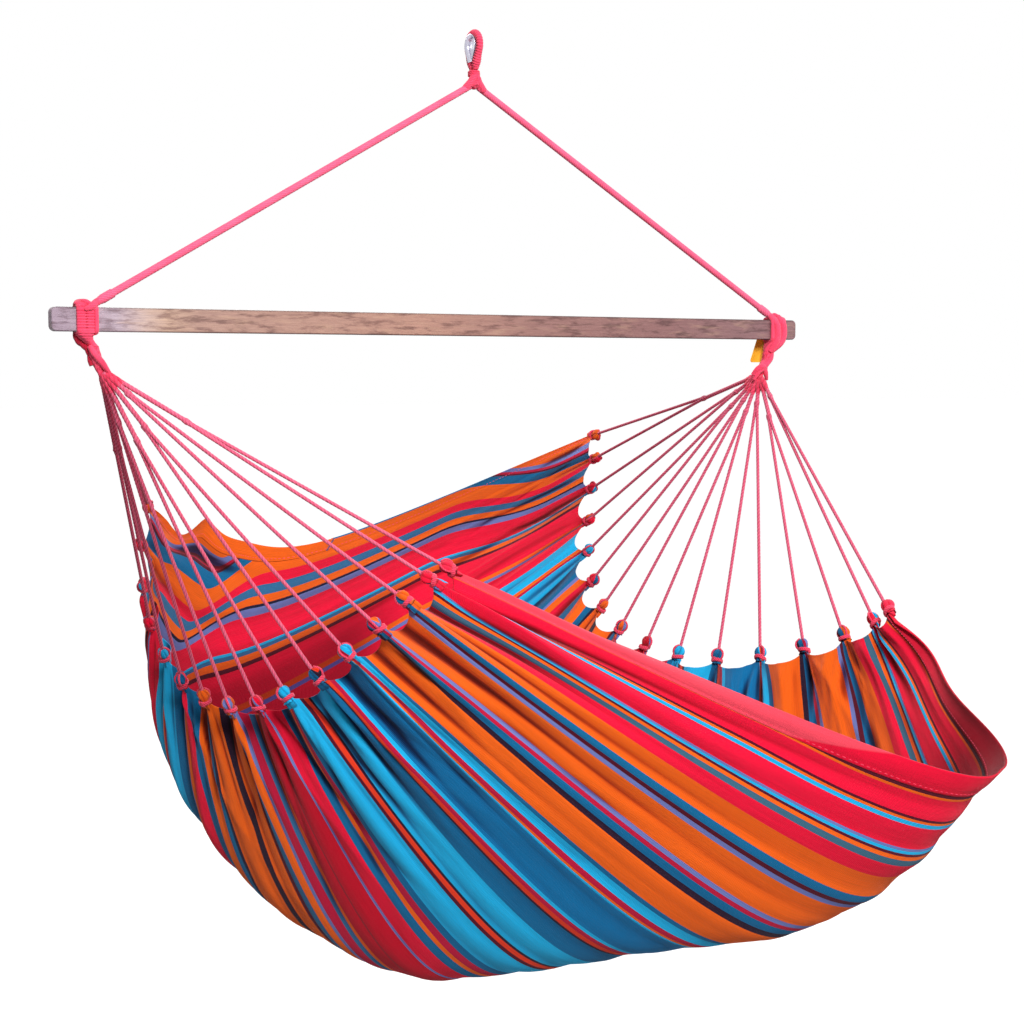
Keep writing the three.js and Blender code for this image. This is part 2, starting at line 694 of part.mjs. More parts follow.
function buildTag() {
  const behind = BAR_DEPTH / 2 + LOOP_SKIN + 2 * GAP;
  const top = BAR_Z - TAG_DROP;
  const half = TAG_WIDTH / 2;
  const corner = (side, down, deep) =>
    vec(
      RIGHT.loopX + side * half - TAG_LEAN_SHARE * down * TAG_LENGTH,
      behind + TAG_TILT_SHARE * down * TAG_LENGTH + deep * TAG_THICKNESS,
      top - down * TAG_LENGTH,
    );
  const ring = (down) => [
    corner(-1, down, 0),
    corner(-1, down, 1),
    corner(1, down, 1),
    corner(1, down, 0),
  ];
  add("blank_tag", skin([ring(0), ring(1)]), card);
}

buildThimble();
buildEye();
buildThroat();
buildBar();
[LEFT, RIGHT].forEach((side) => {
  buildLoop(side);
  buildRope(side);
  buildNeck(side);
  for (let pair = 0; pair < KNOTS_A_SIDE / 2; pair++) buildPair(side, pair);
});
buildCloth();
buildTag();

export default chair;
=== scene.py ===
# Hammock chair: a striped cloth seat slung on fans of cords from a wooden spreader bar,
# hung on two ropes from one eye. Metres, Z up, X along the bar, -Y to the open front.
import math

import bpy
import numpy as np
from mathutils import Matrix, Vector


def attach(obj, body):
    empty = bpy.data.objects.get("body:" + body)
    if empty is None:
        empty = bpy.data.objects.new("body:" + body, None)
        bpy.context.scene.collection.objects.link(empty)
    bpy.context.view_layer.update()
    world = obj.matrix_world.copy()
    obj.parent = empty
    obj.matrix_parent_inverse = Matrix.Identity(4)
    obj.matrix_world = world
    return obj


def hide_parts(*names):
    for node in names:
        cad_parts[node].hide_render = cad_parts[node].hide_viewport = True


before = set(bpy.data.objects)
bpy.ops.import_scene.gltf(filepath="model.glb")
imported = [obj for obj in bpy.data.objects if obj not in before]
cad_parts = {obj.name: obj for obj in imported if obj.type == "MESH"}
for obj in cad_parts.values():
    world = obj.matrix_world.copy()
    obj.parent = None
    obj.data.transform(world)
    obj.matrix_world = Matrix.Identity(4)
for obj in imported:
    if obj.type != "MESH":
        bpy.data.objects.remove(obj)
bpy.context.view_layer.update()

# Steel thimble
# A strip of bright steel pressed to a channel and bent to a drop, so that the hook bears
# on steel and not on rope. It sits loose in the rope eye, its two tips side by side.
THIMBLE_RADIUS = 0.012
THIMBLE_WALL = 0.0016
THIMBLE_LIP = 0.005
THIMBLE_HALF_DEPTH = 0.0085
THIMBLE_MOUTH = 0.002
THIMBLE_CHANNEL = 0.002
CHANNEL_FLARE = 0.18
LIP_FROM, LIP_THINNING, LIP_SHARE, SIDE_SHARE = 0.9, 0.35, 0.93, 0.96
ROPE_CLEARANCE = 0.0003
EYE_ROPE_RADIUS = 0.006
THROAT_ROPE_RADIUS = 0.005
EYE_DROP = 0.052
THROAT_HEIGHT = 0.004
LAY_RADIUS = THIMBLE_RADIUS + THIMBLE_CHANNEL + ROPE_CLEARANCE + EYE_ROPE_RADIUS
THROAT_HALF = THROAT_ROPE_RADIUS + ROPE_CLEARANCE
THROAT_DOWN = EYE_DROP - THROAT_HEIGHT - THIMBLE_RADIUS
LEG_LEAN = math.acos(LAY_RADIUS / math.hypot(THROAT_HALF, THROAT_DOWN)) - math.atan2(THROAT_DOWN, THROAT_HALF)
CROWN_STEPS, LEG_STEPS, CHANNEL_STEPS = 49, 12, 17
TAU = 2 * math.pi
BLACK, WHITE = (0, 0, 0, 1), (1, 1, 1, 1)


def srgb(red, green, blue):
    """A colour as it looks on screen, turned to the linear light that Blender mixes in."""
    light = [c / 12.92 if c <= 0.04045 else ((c + 0.055) / 1.055) ** 2.4 for c in (red, green, blue)]
    return (*light, 1.0)


class Finish:
    """A material with its nodes laid from the back of a Principled shader."""

    def __init__(self, name, roughness, sheen=0.0, metallic=0.0, specular=0.3):
        self.material = bpy.data.materials.new(name)
        self.material.use_nodes = True
        self.tree = self.material.node_tree
        self.shader = self.tree.nodes["Principled BSDF"]
        self.shader.inputs["Roughness"].default_value = roughness
        self.shader.inputs["Metallic"].default_value = metallic
        self.shader.inputs["Sheen Weight"].default_value = sheen
        self.shader.inputs["Specular IOR Level"].default_value = specular

    def node(self, kind, settings=None, **plugs):
        """A shader node; a plug is a socket's name, or n and its number."""
        made = self.tree.nodes.new("ShaderNode" + kind)
        for key, value in (settings or {}).items():
            setattr(made, key, value)
        for key, value in plugs.items():
            place = int(key[1:]) if key.startswith("n") else key.replace("_", " ")
            if isinstance(value, bpy.types.NodeSocket):
                self.tree.links.new(value, made.inputs[place])
            else:
                made.inputs[place].default_value = value
        return made

    def math(self, operation, first, second=0.0, third=0.0, clamp=False):
        settings = {"operation": operation, "use_clamp": clamp}
        return self.node("Math", settings, n0=first, n1=second, n2=third).outputs[0]

    def mix(self, share, first, second, blend="MIX"):
        made = self.node("MixRGB", {"blend_type": blend}, Fac=share, Color1=first, Color2=second)
        return made.outputs[0]

    def times(self, colour, tint, share=1.0):
        return self.mix(share, colour, tint, "MULTIPLY")

    def ramp(self, value, stops, steps=False):
        made = self.node("ValToRGB", Fac=value)
        made.color_ramp.interpolation = "CONSTANT" if steps else "LINEAR"
        points = made.color_ramp.elements
        while len(points) < len(stops):
            points.new(1.0)
        for point, (place, _) in zip(points, stops):
            point.position = place
        for point, (_, colour) in zip(points, stops):
            point.color = colour
        return made.outputs[0]

    def rise(self, value, start, end, top=1.0):
        """Nought up to the start, and from there up to the top at the end."""
        return self.ramp(value, [(0.0, BLACK), (start, BLACK), (end, (top, top, top, 1))])

    def grey(self, value):
        return self.node("CombineColor", Red=value, Green=value, Blue=value).outputs[0]

    def carried(self, name):
        return self.node("Attribute", {"attribute_name": name}).outputs["Fac"]

    def place(self, stretch=(1.0, 1.0, 1.0), where=None):
        if where is None:
            where = self.node("TexCoord").outputs["Object"]
        return self.node("Mapping", Vector=where, Scale=stretch).outputs[0]

    def noise(self, where, scale, detail=3.0, rough=0.55):
        made = self.node("TexNoise", Vector=where, Scale=scale, Detail=detail, Roughness=rough)
        return made.outputs["Fac"]

    def coat(self, colour, height, rise, roughness=None):
        """Joins the colour, the relief and the roughness to the shader."""
        self.tree.links.new(colour, self.shader.inputs["Base Color"])
        bump = self.node("Bump", Height=height, Distance=rise, Strength=1.0)
        self.tree.links.new(bump.outputs[0], self.shader.inputs["Normal"])
        if roughness is not None:
            self.tree.links.new(roughness, self.shader.inputs["Roughness"])
        return self.material


def make_piece(name, points, faces, material, body, nodes=(), carried=None):
    """A smooth mesh that rides on a body and stands for its CAD nodes."""
    mesh = bpy.data.meshes.new(name)
    mesh.from_pydata(np.asarray(points).tolist(), [], faces)
    mesh.shade_smooth()
    for key, values in (carried or {}).items():
        values = np.asarray(values, np.float32).ravel()
        mesh.attributes.new(key, "FLOAT", "POINT").data.foreach_set("value", values)
    mesh.materials.append(material)
    piece = bpy.data.objects.new(name, mesh)
    bpy.context.scene.collection.objects.link(piece)
    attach(piece, body)
    if nodes:
        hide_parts(*nodes)
    return piece


def skin_rings(rings, closed=False):
    """Faces between rows of rings; a closed row joins its ends, an open one is capped."""
    rows, sides = rings.shape[:2]
    last = rows if closed else rows - 1
    faces = []
    for r in range(last):
        here, there = r * sides, ((r + 1) % rows) * sides
        for i in range(sides):
            j = (i + 1) % sides
            faces.append((here + i, here + j, there + j, there + i))
    if not closed:
        faces.append(tuple(range(sides - 1, -1, -1)))
        faces.append(tuple((rows - 1) * sides + i for i in range(sides)))
    return rings.reshape(-1, 3), faces


def drop_outline(radius, steps):
    """The thimble's outline in the YZ plane: its round crown, from right leg to left."""
    angles = np.linspace(LEG_LEAN, math.pi - LEG_LEAN, steps)
    places = [0 * angles, radius * np.cos(angles), -THIMBLE_RADIUS + radius * np.sin(angles)]
    return np.stack(places, 1), angles


def channel_section():
    """Across the strip: a flat floor that rises to two rolled lips, then back outside."""
    across = np.linspace(-1, 1, CHANNEL_STEPS)
    far = np.abs(across)
    inner_out = THIMBLE_LIP * far**3
    inner_side = THIMBLE_HALF_DEPTH * across * (1 - CHANNEL_FLARE + CHANNEL_FLARE * far)
    outer_out = inner_out + THIMBLE_WALL * (1 - LIP_THINNING * far)
    outer_side = inner_side * np.where(far > LIP_FROM, LIP_SHARE, SIDE_SHARE)
    inner = np.stack([inner_out, inner_side], 1)
    outer = np.stack([outer_out, outer_side], 1)
    return np.vstack([inner, outer[::-1]])


def thimble_mesh():
    crown, angles = drop_outline(THIMBLE_RADIUS, CROWN_STEPS)
    tip_y = THIMBLE_MOUTH / 2
    tip_z = -THIMBLE_RADIUS + (THIMBLE_RADIUS - tip_y * math.cos(LEG_LEAN)) / math.sin(LEG_LEAN)
    share = np.linspace(1, 0, LEG_STEPS + 1)[:-1, None]
    right = crown[0] * (1 - share) + np.array([0, tip_y, tip_z]) * share
    left = right[::-1] * np.array([1, -1, 1])
    line = np.vstack([right, crown, left])
    lean = np.concatenate([np.full(LEG_STEPS, angles[0]), angles, np.full(LEG_STEPS, angles[-1])])
    section = channel_section()
    outward = np.stack([0 * lean, np.cos(lean), np.sin(lean)], 1)
    rings = line[:, None, :] + outward[:, None, :] * section[None, :, 0:1]
    rings = rings + np.array([1.0, 0, 0]) * section[None, :, 1:2]
    return skin_rings(rings)


steel = Finish("bright_steel", 0.28, metallic=1.0, specular=0.5)
brushed = steel.noise(steel.place((260.0, 900.0, 900.0)), 1.0)
worn = steel.noise(steel.place(), 420.0)
steel_colour = steel.mix(brushed, srgb(0.63, 0.63, 0.70), srgb(0.93, 0.92, 0.97))
steel_colour = steel.mix(steel.math("MULTIPLY", worn, 0.25), steel_colour, srgb(0.50, 0.46, 0.52))
steel_rough = steel.math("MULTIPLY_ADD", brushed, 0.25, 0.16)
bright_steel = steel.coat(steel_colour, brushed, rise=0.00015, roughness=steel_rough)
points, faces = thimble_mesh()
make_piece("thimble", points, faces, bright_steel, "hanger", ["steel_thimble"])

# Rope eye
# Cotton rope laid round the thimble and covered with half hitches of thin cord, so that it
# shows close ribs and, along one side, the row of small knots where each hitch locks.
HITCH_PITCH = 0.0042
HITCH_DEPTH = 0.13
HITCH_SLANT = 0.0007
LOCK_DEPTH = 0.22
LOCK_SPREAD = 0.22
LOCK_SIDE, LOCK_SHADE_TONE = 0.5, 0.9
EYE_STEPS = 60
EYE_SIDES = 28
EYE_STEP = HITCH_PITCH / 7
EYE_TAPER = 0.020
EYE_SWELL = 0.0016
EYE_SWELL_DROP = 0.040
EYE_SWELL_SPREAD = 0.009
# The lit pink is painted on the strands' crowns and the crimson is painted shade in their grooves; the deep
# pink is the dye's own deeper patches.
LIT_PINK = srgb(1.0, 0.36, 0.49)
DEEP_PINK = srgb(0.97, 0.22, 0.36)
SHADED_CRIMSON = srgb(0.66, 0.03, 0.15)
LOOSE_FIBRE = srgb(1.0, 0.60, 0.68)


def unit(v):
    return v / np.linalg.norm(v, axis=-1, keepdims=True)


def hump(distance, spread):
    """One at nought, falling away on both sides as a bell does."""
    return np.exp(-((distance / spread) ** 2))


def along_line(points, step):
    """The same line with points a step apart, and their distances along it."""
    points = np.asarray(points, float)
    lengths = np.concatenate([[0], np.cumsum(np.linalg.norm(np.diff(points, axis=0), axis=1))])
    marks = np.linspace(0, lengths[-1], max(2, int(round(lengths[-1] / step)) + 1))
    return np.stack([np.interp(marks, lengths, points[:, i]) for i in range(3)], 1), marks


def across_line(line):
    """Two directions across a line that turn as little as they can."""
    ahead = unit(np.gradient(line, axis=0))
    side = np.array([0.0, 0, 1]) if abs(ahead[0, 2]) < 0.9 else np.array([1.0, 0, 0])
    sides = []
    for a in ahead:
        side = unit(side - a * (side @ a))
        sides.append(side)
    sides = np.array(sides)
    return sides, np.cross(ahead, sides)


def round_line(line, angle, spread):
    """Rings round a line, at the angles and distances given for each of its points."""
    side, other = across_line(line)
    across = side[:, None, :] * (spread * np.cos(angle))[..., None]
    return line[:, None, :] + across + other[:, None, :] * (spread * np.sin(angle))[..., None]


def rope_rings(line, marks, radii, strands, pitch, groove, per_strand=5, turn=0.0):
    """Rings of a laid rope: a lobed section that turns along the line. Also its crowns, which set the painted
    shade in the grooves.
    """
    count = strands * per_strand
    angle = TAU * np.arange(count) / count
    lobe = np.abs(np.cos(strands * angle / 2))
    shape = 1 - groove * (1 - lobe) ** 1.3
    whole = angle[None, :] + TAU * marks[:, None] / pitch + turn
    spread = np.broadcast_to(radii, len(marks))[:, None] * shape[None, :]
    return round_line(line, whole, spread), np.tile(lobe, (len(line), 1))


def twisted_finish(name, light, deep, groove_shade, fibre=1.0):
    """Dyed cotton with painted light and shade: the lit colour on each strand's crown, painted shade in the
    grooves, with loose fibres.
    """
    cotton = Finish(name, 0.92, sheen=0.25, specular=0.12)
    fuzz = cotton.noise(cotton.place(), 900.0 * fibre, 4.0)
    patch = cotton.noise(cotton.place(), 42.0, 2.0)
    lifted = cotton.math("MULTIPLY_ADD", fuzz, 0.35, -0.12)
    lit = cotton.math("ADD", cotton.carried("crown"), lifted, clamp=True)
    shade = cotton.math("POWER", lit, 0.7, clamp=True)
    colour = cotton.mix(shade, groove_shade, cotton.mix(patch, deep, light))
    loose = cotton.math("MULTIPLY", cotton.math("GREATER_THAN", fuzz, 0.66), 0.35)
    return cotton.coat(cotton.mix(loose, colour, LOOSE_FIBRE), fuzz, rise=0.0004)


def hitched_tube(line, marks, radii, sides, locks_at=None):
    """A tube of hitched cord: ribs along it and, at one side, a row of locking knots. Its crown share paints
    shade between the ribs, deepest in the row of knots and a little around it.
    """
    angle = TAU * np.arange(sides) / sides
    slant = HITCH_SLANT * np.cos(angle - (locks_at or 0.0))
    rib = np.abs(np.cos(math.pi * (marks[:, None] + slant[None, :]) / HITCH_PITCH))
    spread = 1 - HITCH_DEPTH * (1 - rib)
    crown = rib**0.6
    if locks_at is not None:
        away = np.abs((angle - locks_at + math.pi) % TAU - math.pi)
        row = hump(away, LOCK_SPREAD)[None, :] * (1 - rib)
        crown = crown * (1 - row) * np.where(away < LOCK_SIDE, LOCK_SHADE_TONE, 1.0)[None, :]
        spread = spread * (1 - LOCK_DEPTH * row)
    return round_line(line, angle[None, :], spread * np.asarray(radii)[:, None]), crown


class Stack:
    """Meshes gathered into one piece."""

    def __init__(self):
        self.points, self.faces, self.carried, self.count = [], [], {}, 0

    def add(self, points, faces, **carried):
        points = np.asarray(points).reshape(-1, 3)
        self.points.append(points)
        self.faces += [tuple(i + self.count for i in face) for face in faces]
        for key, values in carried.items():
            values = np.broadcast_to(np.asarray(values, float).ravel(), (len(points),))
            self.carried.setdefault(key, []).append(values)
        self.count += len(points)

    def add_rings(self, rings, crown, closed=False):
        points, faces = skin_rings(rings, closed)
        self.add(points, faces, crown=crown)

    def make(self, name, material, body, slot, nodes=()):
        carried = {key: np.concatenate(rows) for key, rows in self.carried.items()}
        points = np.vstack(self.points)
        return make_piece(name, points, self.faces, material, body, nodes, carried)


rope_cotton = twisted_finish("pink_rope", LIT_PINK, DEEP_PINK, SHADED_CRIMSON)
leg_down = np.array([[0, THROAT_HALF, ROPE_CLEARANCE - EYE_DROP], [0, THROAT_HALF, THROAT_HEIGHT - EYE_DROP]])
leg_up = leg_down[::-1] * [1, -1, 1]
eye_line = np.vstack([leg_down, drop_outline(LAY_RADIUS, EYE_STEPS)[0], leg_up])
eye_line, marks = along_line(eye_line, EYE_STEP)
taper = np.clip(np.minimum(marks, marks[-1] - marks) / EYE_TAPER, 0, 1)
eye_radii = THROAT_ROPE_RADIUS + (EYE_ROPE_RADIUS - THROAT_ROPE_RADIUS) * taper
eye_radii = eye_radii + EYE_SWELL * hump(eye_line[:, 2] + EYE_SWELL_DROP, EYE_SWELL_SPREAD)
eye = Stack()
eye.add_rings(*hitched_tube(eye_line, marks, eye_radii, EYE_SIDES, math.pi))
eye.make("hitched_eye", rope_cotton, "hanger", "rope", ["top_eye"])

# Throat seizing and crown knot
# Both legs of the eye are bound together with turns of the same cord, and below it the
# two hanging ropes cross in one tight knot, from which they leave to the bar's ends.
SEIZING_TOP = -EYE_DROP
SEIZING_HEIGHT = 0.012
SEIZING_FOOT = SEIZING_TOP - SEIZING_HEIGHT
SEIZING_CORE = 0.0086
SEIZING_CORE_STEPS, SEIZING_CORE_SIDES, SEIZING_CORE_SHADE_TONE = 9, 24, 0.3
SEIZING_INSET = 0.0004
SEIZING_CORD = 0.0018
SEIZING_TURNS = 3.1
SEIZING_STEPS = 120
SEIZING_TUCK, SEIZING_TUCK_STEPS = 0.35, 4.0
SEIZING_LAY, SEIZING_GROOVE = 0.011, 0.22
CROWN_RADIUS = 0.0097
CROWN_FLAT_SHARE = 0.92
CROWN_Z = SEIZING_FOOT - ROPE_CLEARANCE - CROWN_RADIUS
CROWN_CENTRE = np.array([0, 0, CROWN_Z])
CROWN_GROOVES, CROWN_GROOVE, CROWN_SKEW = 5, 0.16, 0.8
CROWN_CORD = 0.0031
CROWN_CORD_LAY, CROWN_CORD_GROOVE = 0.016, 0.2
CROWN_TURN_RADIUS = CROWN_RADIUS * 0.72
CROWN_TURN_RISE, CROWN_TURN_ROUNDS, CROWN_TURN_STEPS = 0.002, 1.15, 90
CROWN_TILTS = ((0.55, 0.4), (-0.55, 2.2))
ROPE_LEAVES = (0.66, 0, -0.40)
STRAND_STEP = 0.0012
STRAND_PLACES, EASE_ROUNDS = 60, 40
FULL_GROOVE = 0.14


def helix(low, high, radius, turns, steps, start=0.0):
    t = np.linspace(0, 1, steps)
    angle = start + TAU * turns * t
    return np.stack([radius * np.cos(angle), radius * np.sin(angle), low + (high - low) * t], 1)


def lumpy_ball(centre, radii, lobes, depth, twist, rows=28, sides=40):
    """A knotted ball: grooves run round it askew, as crossed strands leave them. Its second result, high on
    the lobes, sets the painted shade in the grooves.
    """
    up = np.linspace(-0.49 * math.pi, 0.49 * math.pi, rows)
    angle = TAU * np.arange(sides) / sides
    wave = np.abs(np.cos(lobes * (angle[None, :] + twist * up[:, None]) / 2))
    spread = 1 - depth * (1 - wave)
    across = np.cos(up)[:, None] * spread
    rise = np.sin(up)[:, None] * (0.5 + 0.5 * spread)
    ball = np.stack([across * np.cos(angle), across * np.sin(angle), rise], -1)
    return np.asarray(centre) + ball * np.asarray(radii), wave


def strand(stack, places, radii, pitch=0.03, strands=3, groove=0.2, slub_and_shade_tone=1.0):
    """A twisted strand through a few places, on a smooth line, added to a piece. Painted shade darkens its
    grooves as deep as they are cut, and the whole strand is drawn darker where it lies behind or under
    others.
    """
    places = np.asarray(places, float)
    t = np.linspace(0, 1, len(places))
    fine = np.linspace(0, 1, STRAND_PLACES)
    smooth = np.stack([np.interp(fine, t, places[:, i]) for i in range(3)], 1)
    for _ in range(EASE_ROUNDS):
        smooth[1:-1] = (smooth[:-2] + 2 * smooth[1:-1] + smooth[2:]) / 4
    line, marks = along_line(smooth, STRAND_STEP)
    size = np.interp(marks / marks[-1], np.linspace(0, 1, len(radii)), radii)
    rings, crown = rope_rings(line, marks, size, strands, pitch, groove, 6)
    stack.add_rings(rings, (1 - (1 - crown) * min(1.0, groove / FULL_GROOVE)) * slub_and_shade_tone)


seizing = Stack()
core = helix(SEIZING_FOOT + SEIZING_INSET, SEIZING_TOP - SEIZING_INSET, 0, 1, SEIZING_CORE_STEPS)
core_radii = np.full(SEIZING_CORE_STEPS, SEIZING_CORE)
rings, crown = hitched_tube(core, core[:, 2], core_radii, SEIZING_CORE_SIDES)
# Painted shade: the core under the binding turns is drawn much darker.
seizing.add_rings(rings, crown * SEIZING_CORE_SHADE_TONE)
wrap_low, wrap_high = SEIZING_FOOT + SEIZING_CORD, SEIZING_TOP - SEIZING_CORD
wrap = helix(wrap_low, wrap_high, SEIZING_CORE, SEIZING_TURNS, SEIZING_STEPS)
from_end = np.minimum(np.arange(SEIZING_STEPS), np.arange(SEIZING_STEPS)[::-1])
wrap[:, :2] *= (1 - SEIZING_TUCK * np.exp(-from_end / SEIZING_TUCK_STEPS))[:, None]
wrap, marks = along_line(wrap, STRAND_STEP)
seizing.add_rings(*rope_rings(wrap, marks, SEIZING_CORD, 3, SEIZING_LAY, SEIZING_GROOVE))
seizing.make("throat_binding", rope_cotton, "seizing", "rope", ["top_seizing"])

knot = Stack()
crown_radii = (CROWN_RADIUS, CROWN_RADIUS * CROWN_FLAT_SHARE, CROWN_RADIUS)
knot.add_rings(*lumpy_ball(CROWN_CENTRE, crown_radii, CROWN_GROOVES, CROWN_GROOVE, CROWN_SKEW))
for tilt, start in CROWN_TILTS:
    ends = (-CROWN_TURN_RISE, CROWN_TURN_RISE)
    turn = helix(*ends, CROWN_TURN_RADIUS, CROWN_TURN_ROUNDS, CROWN_TURN_STEPS, start)
    turn = turn @ np.array(Matrix.Rotation(tilt, 3, "Y")).T + CROWN_CENTRE
    turn, marks = along_line(turn, STRAND_STEP)
    knot.add_rings(*rope_rings(turn, marks, CROWN_CORD, 3, CROWN_CORD_LAY, CROWN_CORD_GROOVE))
for sign in (-1, 1):
    leg = unit(np.array(ROPE_LEAVES) * [sign, 1, 1])
    climb = [
        CROWN_CENTRE + [0, -0.001 * sign, 0] + leg * 0.021,
        CROWN_CENTRE + [sign * 0.0075, -0.0030, 0.0010],
        CROWN_CENTRE + [sign * 0.0035, -0.0050, 0.0090],
        CROWN_CENTRE + [-sign * 0.0030, -0.0055, 0.0175],
    ]
    strand(knot, climb, [0.0060, 0.0064, 0.0062, 0.0040], strands=8, pitch=0.045, groove=0.07)
knot.make("crossing_knot", rope_cotton, "crown", "rope", ["crown_knot"])

# Hanging ropes
# Two thick cotton ropes from the knot to the loops at the bar's ends. Near the bar each
# one doubles back and is spliced into itself, which leaves a thick sleeve and a cut end.
HOOK_RISE = 0.472
BAR_LENGTH = 1.390
BAR_HEIGHT = 0.036
BAR_TOP = BAR_HEIGHT / 2 - HOOK_RISE
BAR_FOOT = -BAR_HEIGHT / 2 - HOOK_RISE
LOOP_INSET = 0.048
LOOP_MIDDLE_X = -0.010
LOOP_SPAN = BAR_LENGTH - 2 * LOOP_INSET
LOOP_WIDTH = 0.034
ROPE_RADIUS = 0.0057
ROPE_STRANDS = 8
ROPE_PITCH = 0.045
ROPE_GROOVE = 0.07
ROPE_GROOVE_LIT_SHARE = 0.45
ROPE_STEP = 0.0016
SLEEVE_RADIUS = 0.0072
SLEEVE_LENGTH = 0.026
SLEEVE_TAPER = 0.006
SLEEVE_CUT = 0.0015
ROPE_END_RISE = 0.0065
ROPE_END_FRONT = 0.006
ROPE_END_SHARE = 0.8
ROPE_END_GAP = 0.001
SIGN = {"left": -1, "right": 1}
LOOP_X = {name: LOOP_MIDDLE_X + sign * LOOP_SPAN / 2 for name, sign in SIGN.items()}


def rope_foot(name):
    """Where a hanging rope ends, on the loop's shoulder in front of the bar's top."""
    x = LOOP_X[name] - SIGN[name] * ROPE_END_SHARE * LOOP_WIDTH / 2
    return np.array([x, -ROPE_END_FRONT, BAR_TOP + ROPE_END_RISE])


# The ropes' lit pink, the dye's deeper patches, and the crimson painted as shade in the grooves.
rope_lit_deep_shaded = srgb(1.0, 0.46, 0.60), srgb(1.0, 0.34, 0.48), srgb(0.84, 0.14, 0.29)
pale_rope = twisted_finish("pale_pink_rope", *rope_lit_deep_shaded)
for name in LOOP_X:
    foot = rope_foot(name)
    reach = np.linalg.norm(foot - CROWN_CENTRE)
    heading = unit(foot - CROWN_CENTRE)
    start = CROWN_CENTRE + heading * (CROWN_RADIUS + ROPE_CLEARANCE)
    line, marks = along_line([start, foot - heading * ROPE_END_GAP], ROPE_STEP)
    from_foot = reach - CROWN_RADIUS - marks
    rise = np.clip((from_foot - SLEEVE_TAPER) / SLEEVE_TAPER, 0, 1)
    fall = np.clip((from_foot - SLEEVE_LENGTH - SLEEVE_TAPER + SLEEVE_CUT) / SLEEVE_CUT, 0, 1)
    radii = ROPE_RADIUS + (SLEEVE_RADIUS - ROPE_RADIUS) * rise * (1 - fall)
    rope = Stack()
    rings, crown = rope_rings(line, marks, radii, ROPE_STRANDS, ROPE_PITCH, ROPE_GROOVE, 4)
    # Painted shade in the grooves, which keep part of the lit colour.
    rope.add_rings(rings, ROPE_GROOVE_LIT_SHARE + (1 - ROPE_GROOVE_LIT_SHARE) * crown)
    rope.make("hanging_rope_" + name, pale_rope, "yoke", "rope", ["suspension_rope_" + name])

# Spreader bar
# One length of hardwood, planed, rounded at its corners and stained brown, worn bare in patches.
# It is paler just right of the left loop and darker to the right, with painted highlight in pale
# streaks along the grain and painted shade on its rounded top and bottom edges.
BAR_LEFT_SHARE = 0.511
# Colour along the bar from its left end to its right: paler just right of the left loop, darker towards the
# right end.
STAIN = [
    (0.0, srgb(0.64, 0.56, 0.62)),
    (0.085, srgb(0.74, 0.67, 0.71)),
    (0.115, srgb(0.80, 0.70, 0.66)),
    (0.140, srgb(0.80, 0.67, 0.58)),
    (0.180, srgb(0.70, 0.56, 0.50)),
    (0.45, srgb(0.71, 0.54, 0.47)),
    (0.62, srgb(0.60, 0.44, 0.41)),
    (0.80, srgb(0.55, 0.39, 0.38)),
    (1.0, srgb(0.54, 0.40, 0.41)),
]
BLOTCHES = [
    (0.0, srgb(0.46, 0.40, 0.42)),
    (0.38, srgb(0.66, 0.60, 0.62)),
    (0.50, srgb(0.95, 0.94, 0.95)),
    (1.0, WHITE),
]
VEINS = [
    (0.0, srgb(0.50, 0.46, 0.48)),
    (0.44, srgb(0.90, 0.88, 0.89)),
    (0.60, WHITE),
    (1.0, WHITE),
]
wood = Finish("stained_hardwood", 0.5, specular=0.35)
grain = wood.noise(wood.place((3.2, 60.0, 60.0)), 5.0, 6.0, 0.7)
fine = wood.noise(wood.place((14.0, 420.0, 420.0)), 4.0, 4.0, 0.7)
blotch = wood.noise(wood.place((9.0, 42.0, 42.0)), 2.2, 4.0, 0.62)
bare = wood.noise(wood.place((5.0, 30.0, 30.0)), 3.1, 3.0, 0.6)
split = wood.node("SeparateXYZ", Vector=wood.node("TexCoord").outputs["Object"])
run = wood.math("MULTIPLY_ADD", split.outputs["X"], 1 / BAR_LENGTH, BAR_LEFT_SHARE)
run = wood.math("ADD", run, wood.math("MULTIPLY", grain, 0.03))
stain = wood.times(wood.ramp(run, STAIN), wood.ramp(blotch, BLOTCHES), 0.85)
stain = wood.times(stain, wood.ramp(grain, VEINS), 0.6)
stain = wood.mix(wood.rise(bare, 0.54, 0.70, 0.30), stain, srgb(0.74, 0.60, 0.50))
# Painted highlight: pale streaks along the grain.
pale = wood.math("MULTIPLY", wood.rise(fine, 0.55, 0.75), 0.4)
stain = wood.mix(pale, stain, srgb(0.72, 0.60, 0.56))
# Painted shade: the rounded top and bottom edges of the bar are darkened.
height = wood.math("ABSOLUTE", wood.math("ADD", split.outputs["Z"], HOOK_RISE))
edge = wood.rise(wood.math("MULTIPLY", height, 2 / BAR_HEIGHT), 0.86, 0.97)
stain = wood.mix(wood.math("MULTIPLY", edge, 0.65), stain, srgb(0.16, 0.08, 0.09))
relief = wood.math("ADD", grain, wood.math("MULTIPLY", fine, 0.6))
wood_rough = wood.math("MULTIPLY_ADD", fine, 0.3, 0.38)
bar_wood = wood.coat(stain, relief, rise=0.0006, roughness=wood_rough)
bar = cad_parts["spreader_bar"]
bar.data.materials.clear()
bar.data.materials.append(bar_wood)

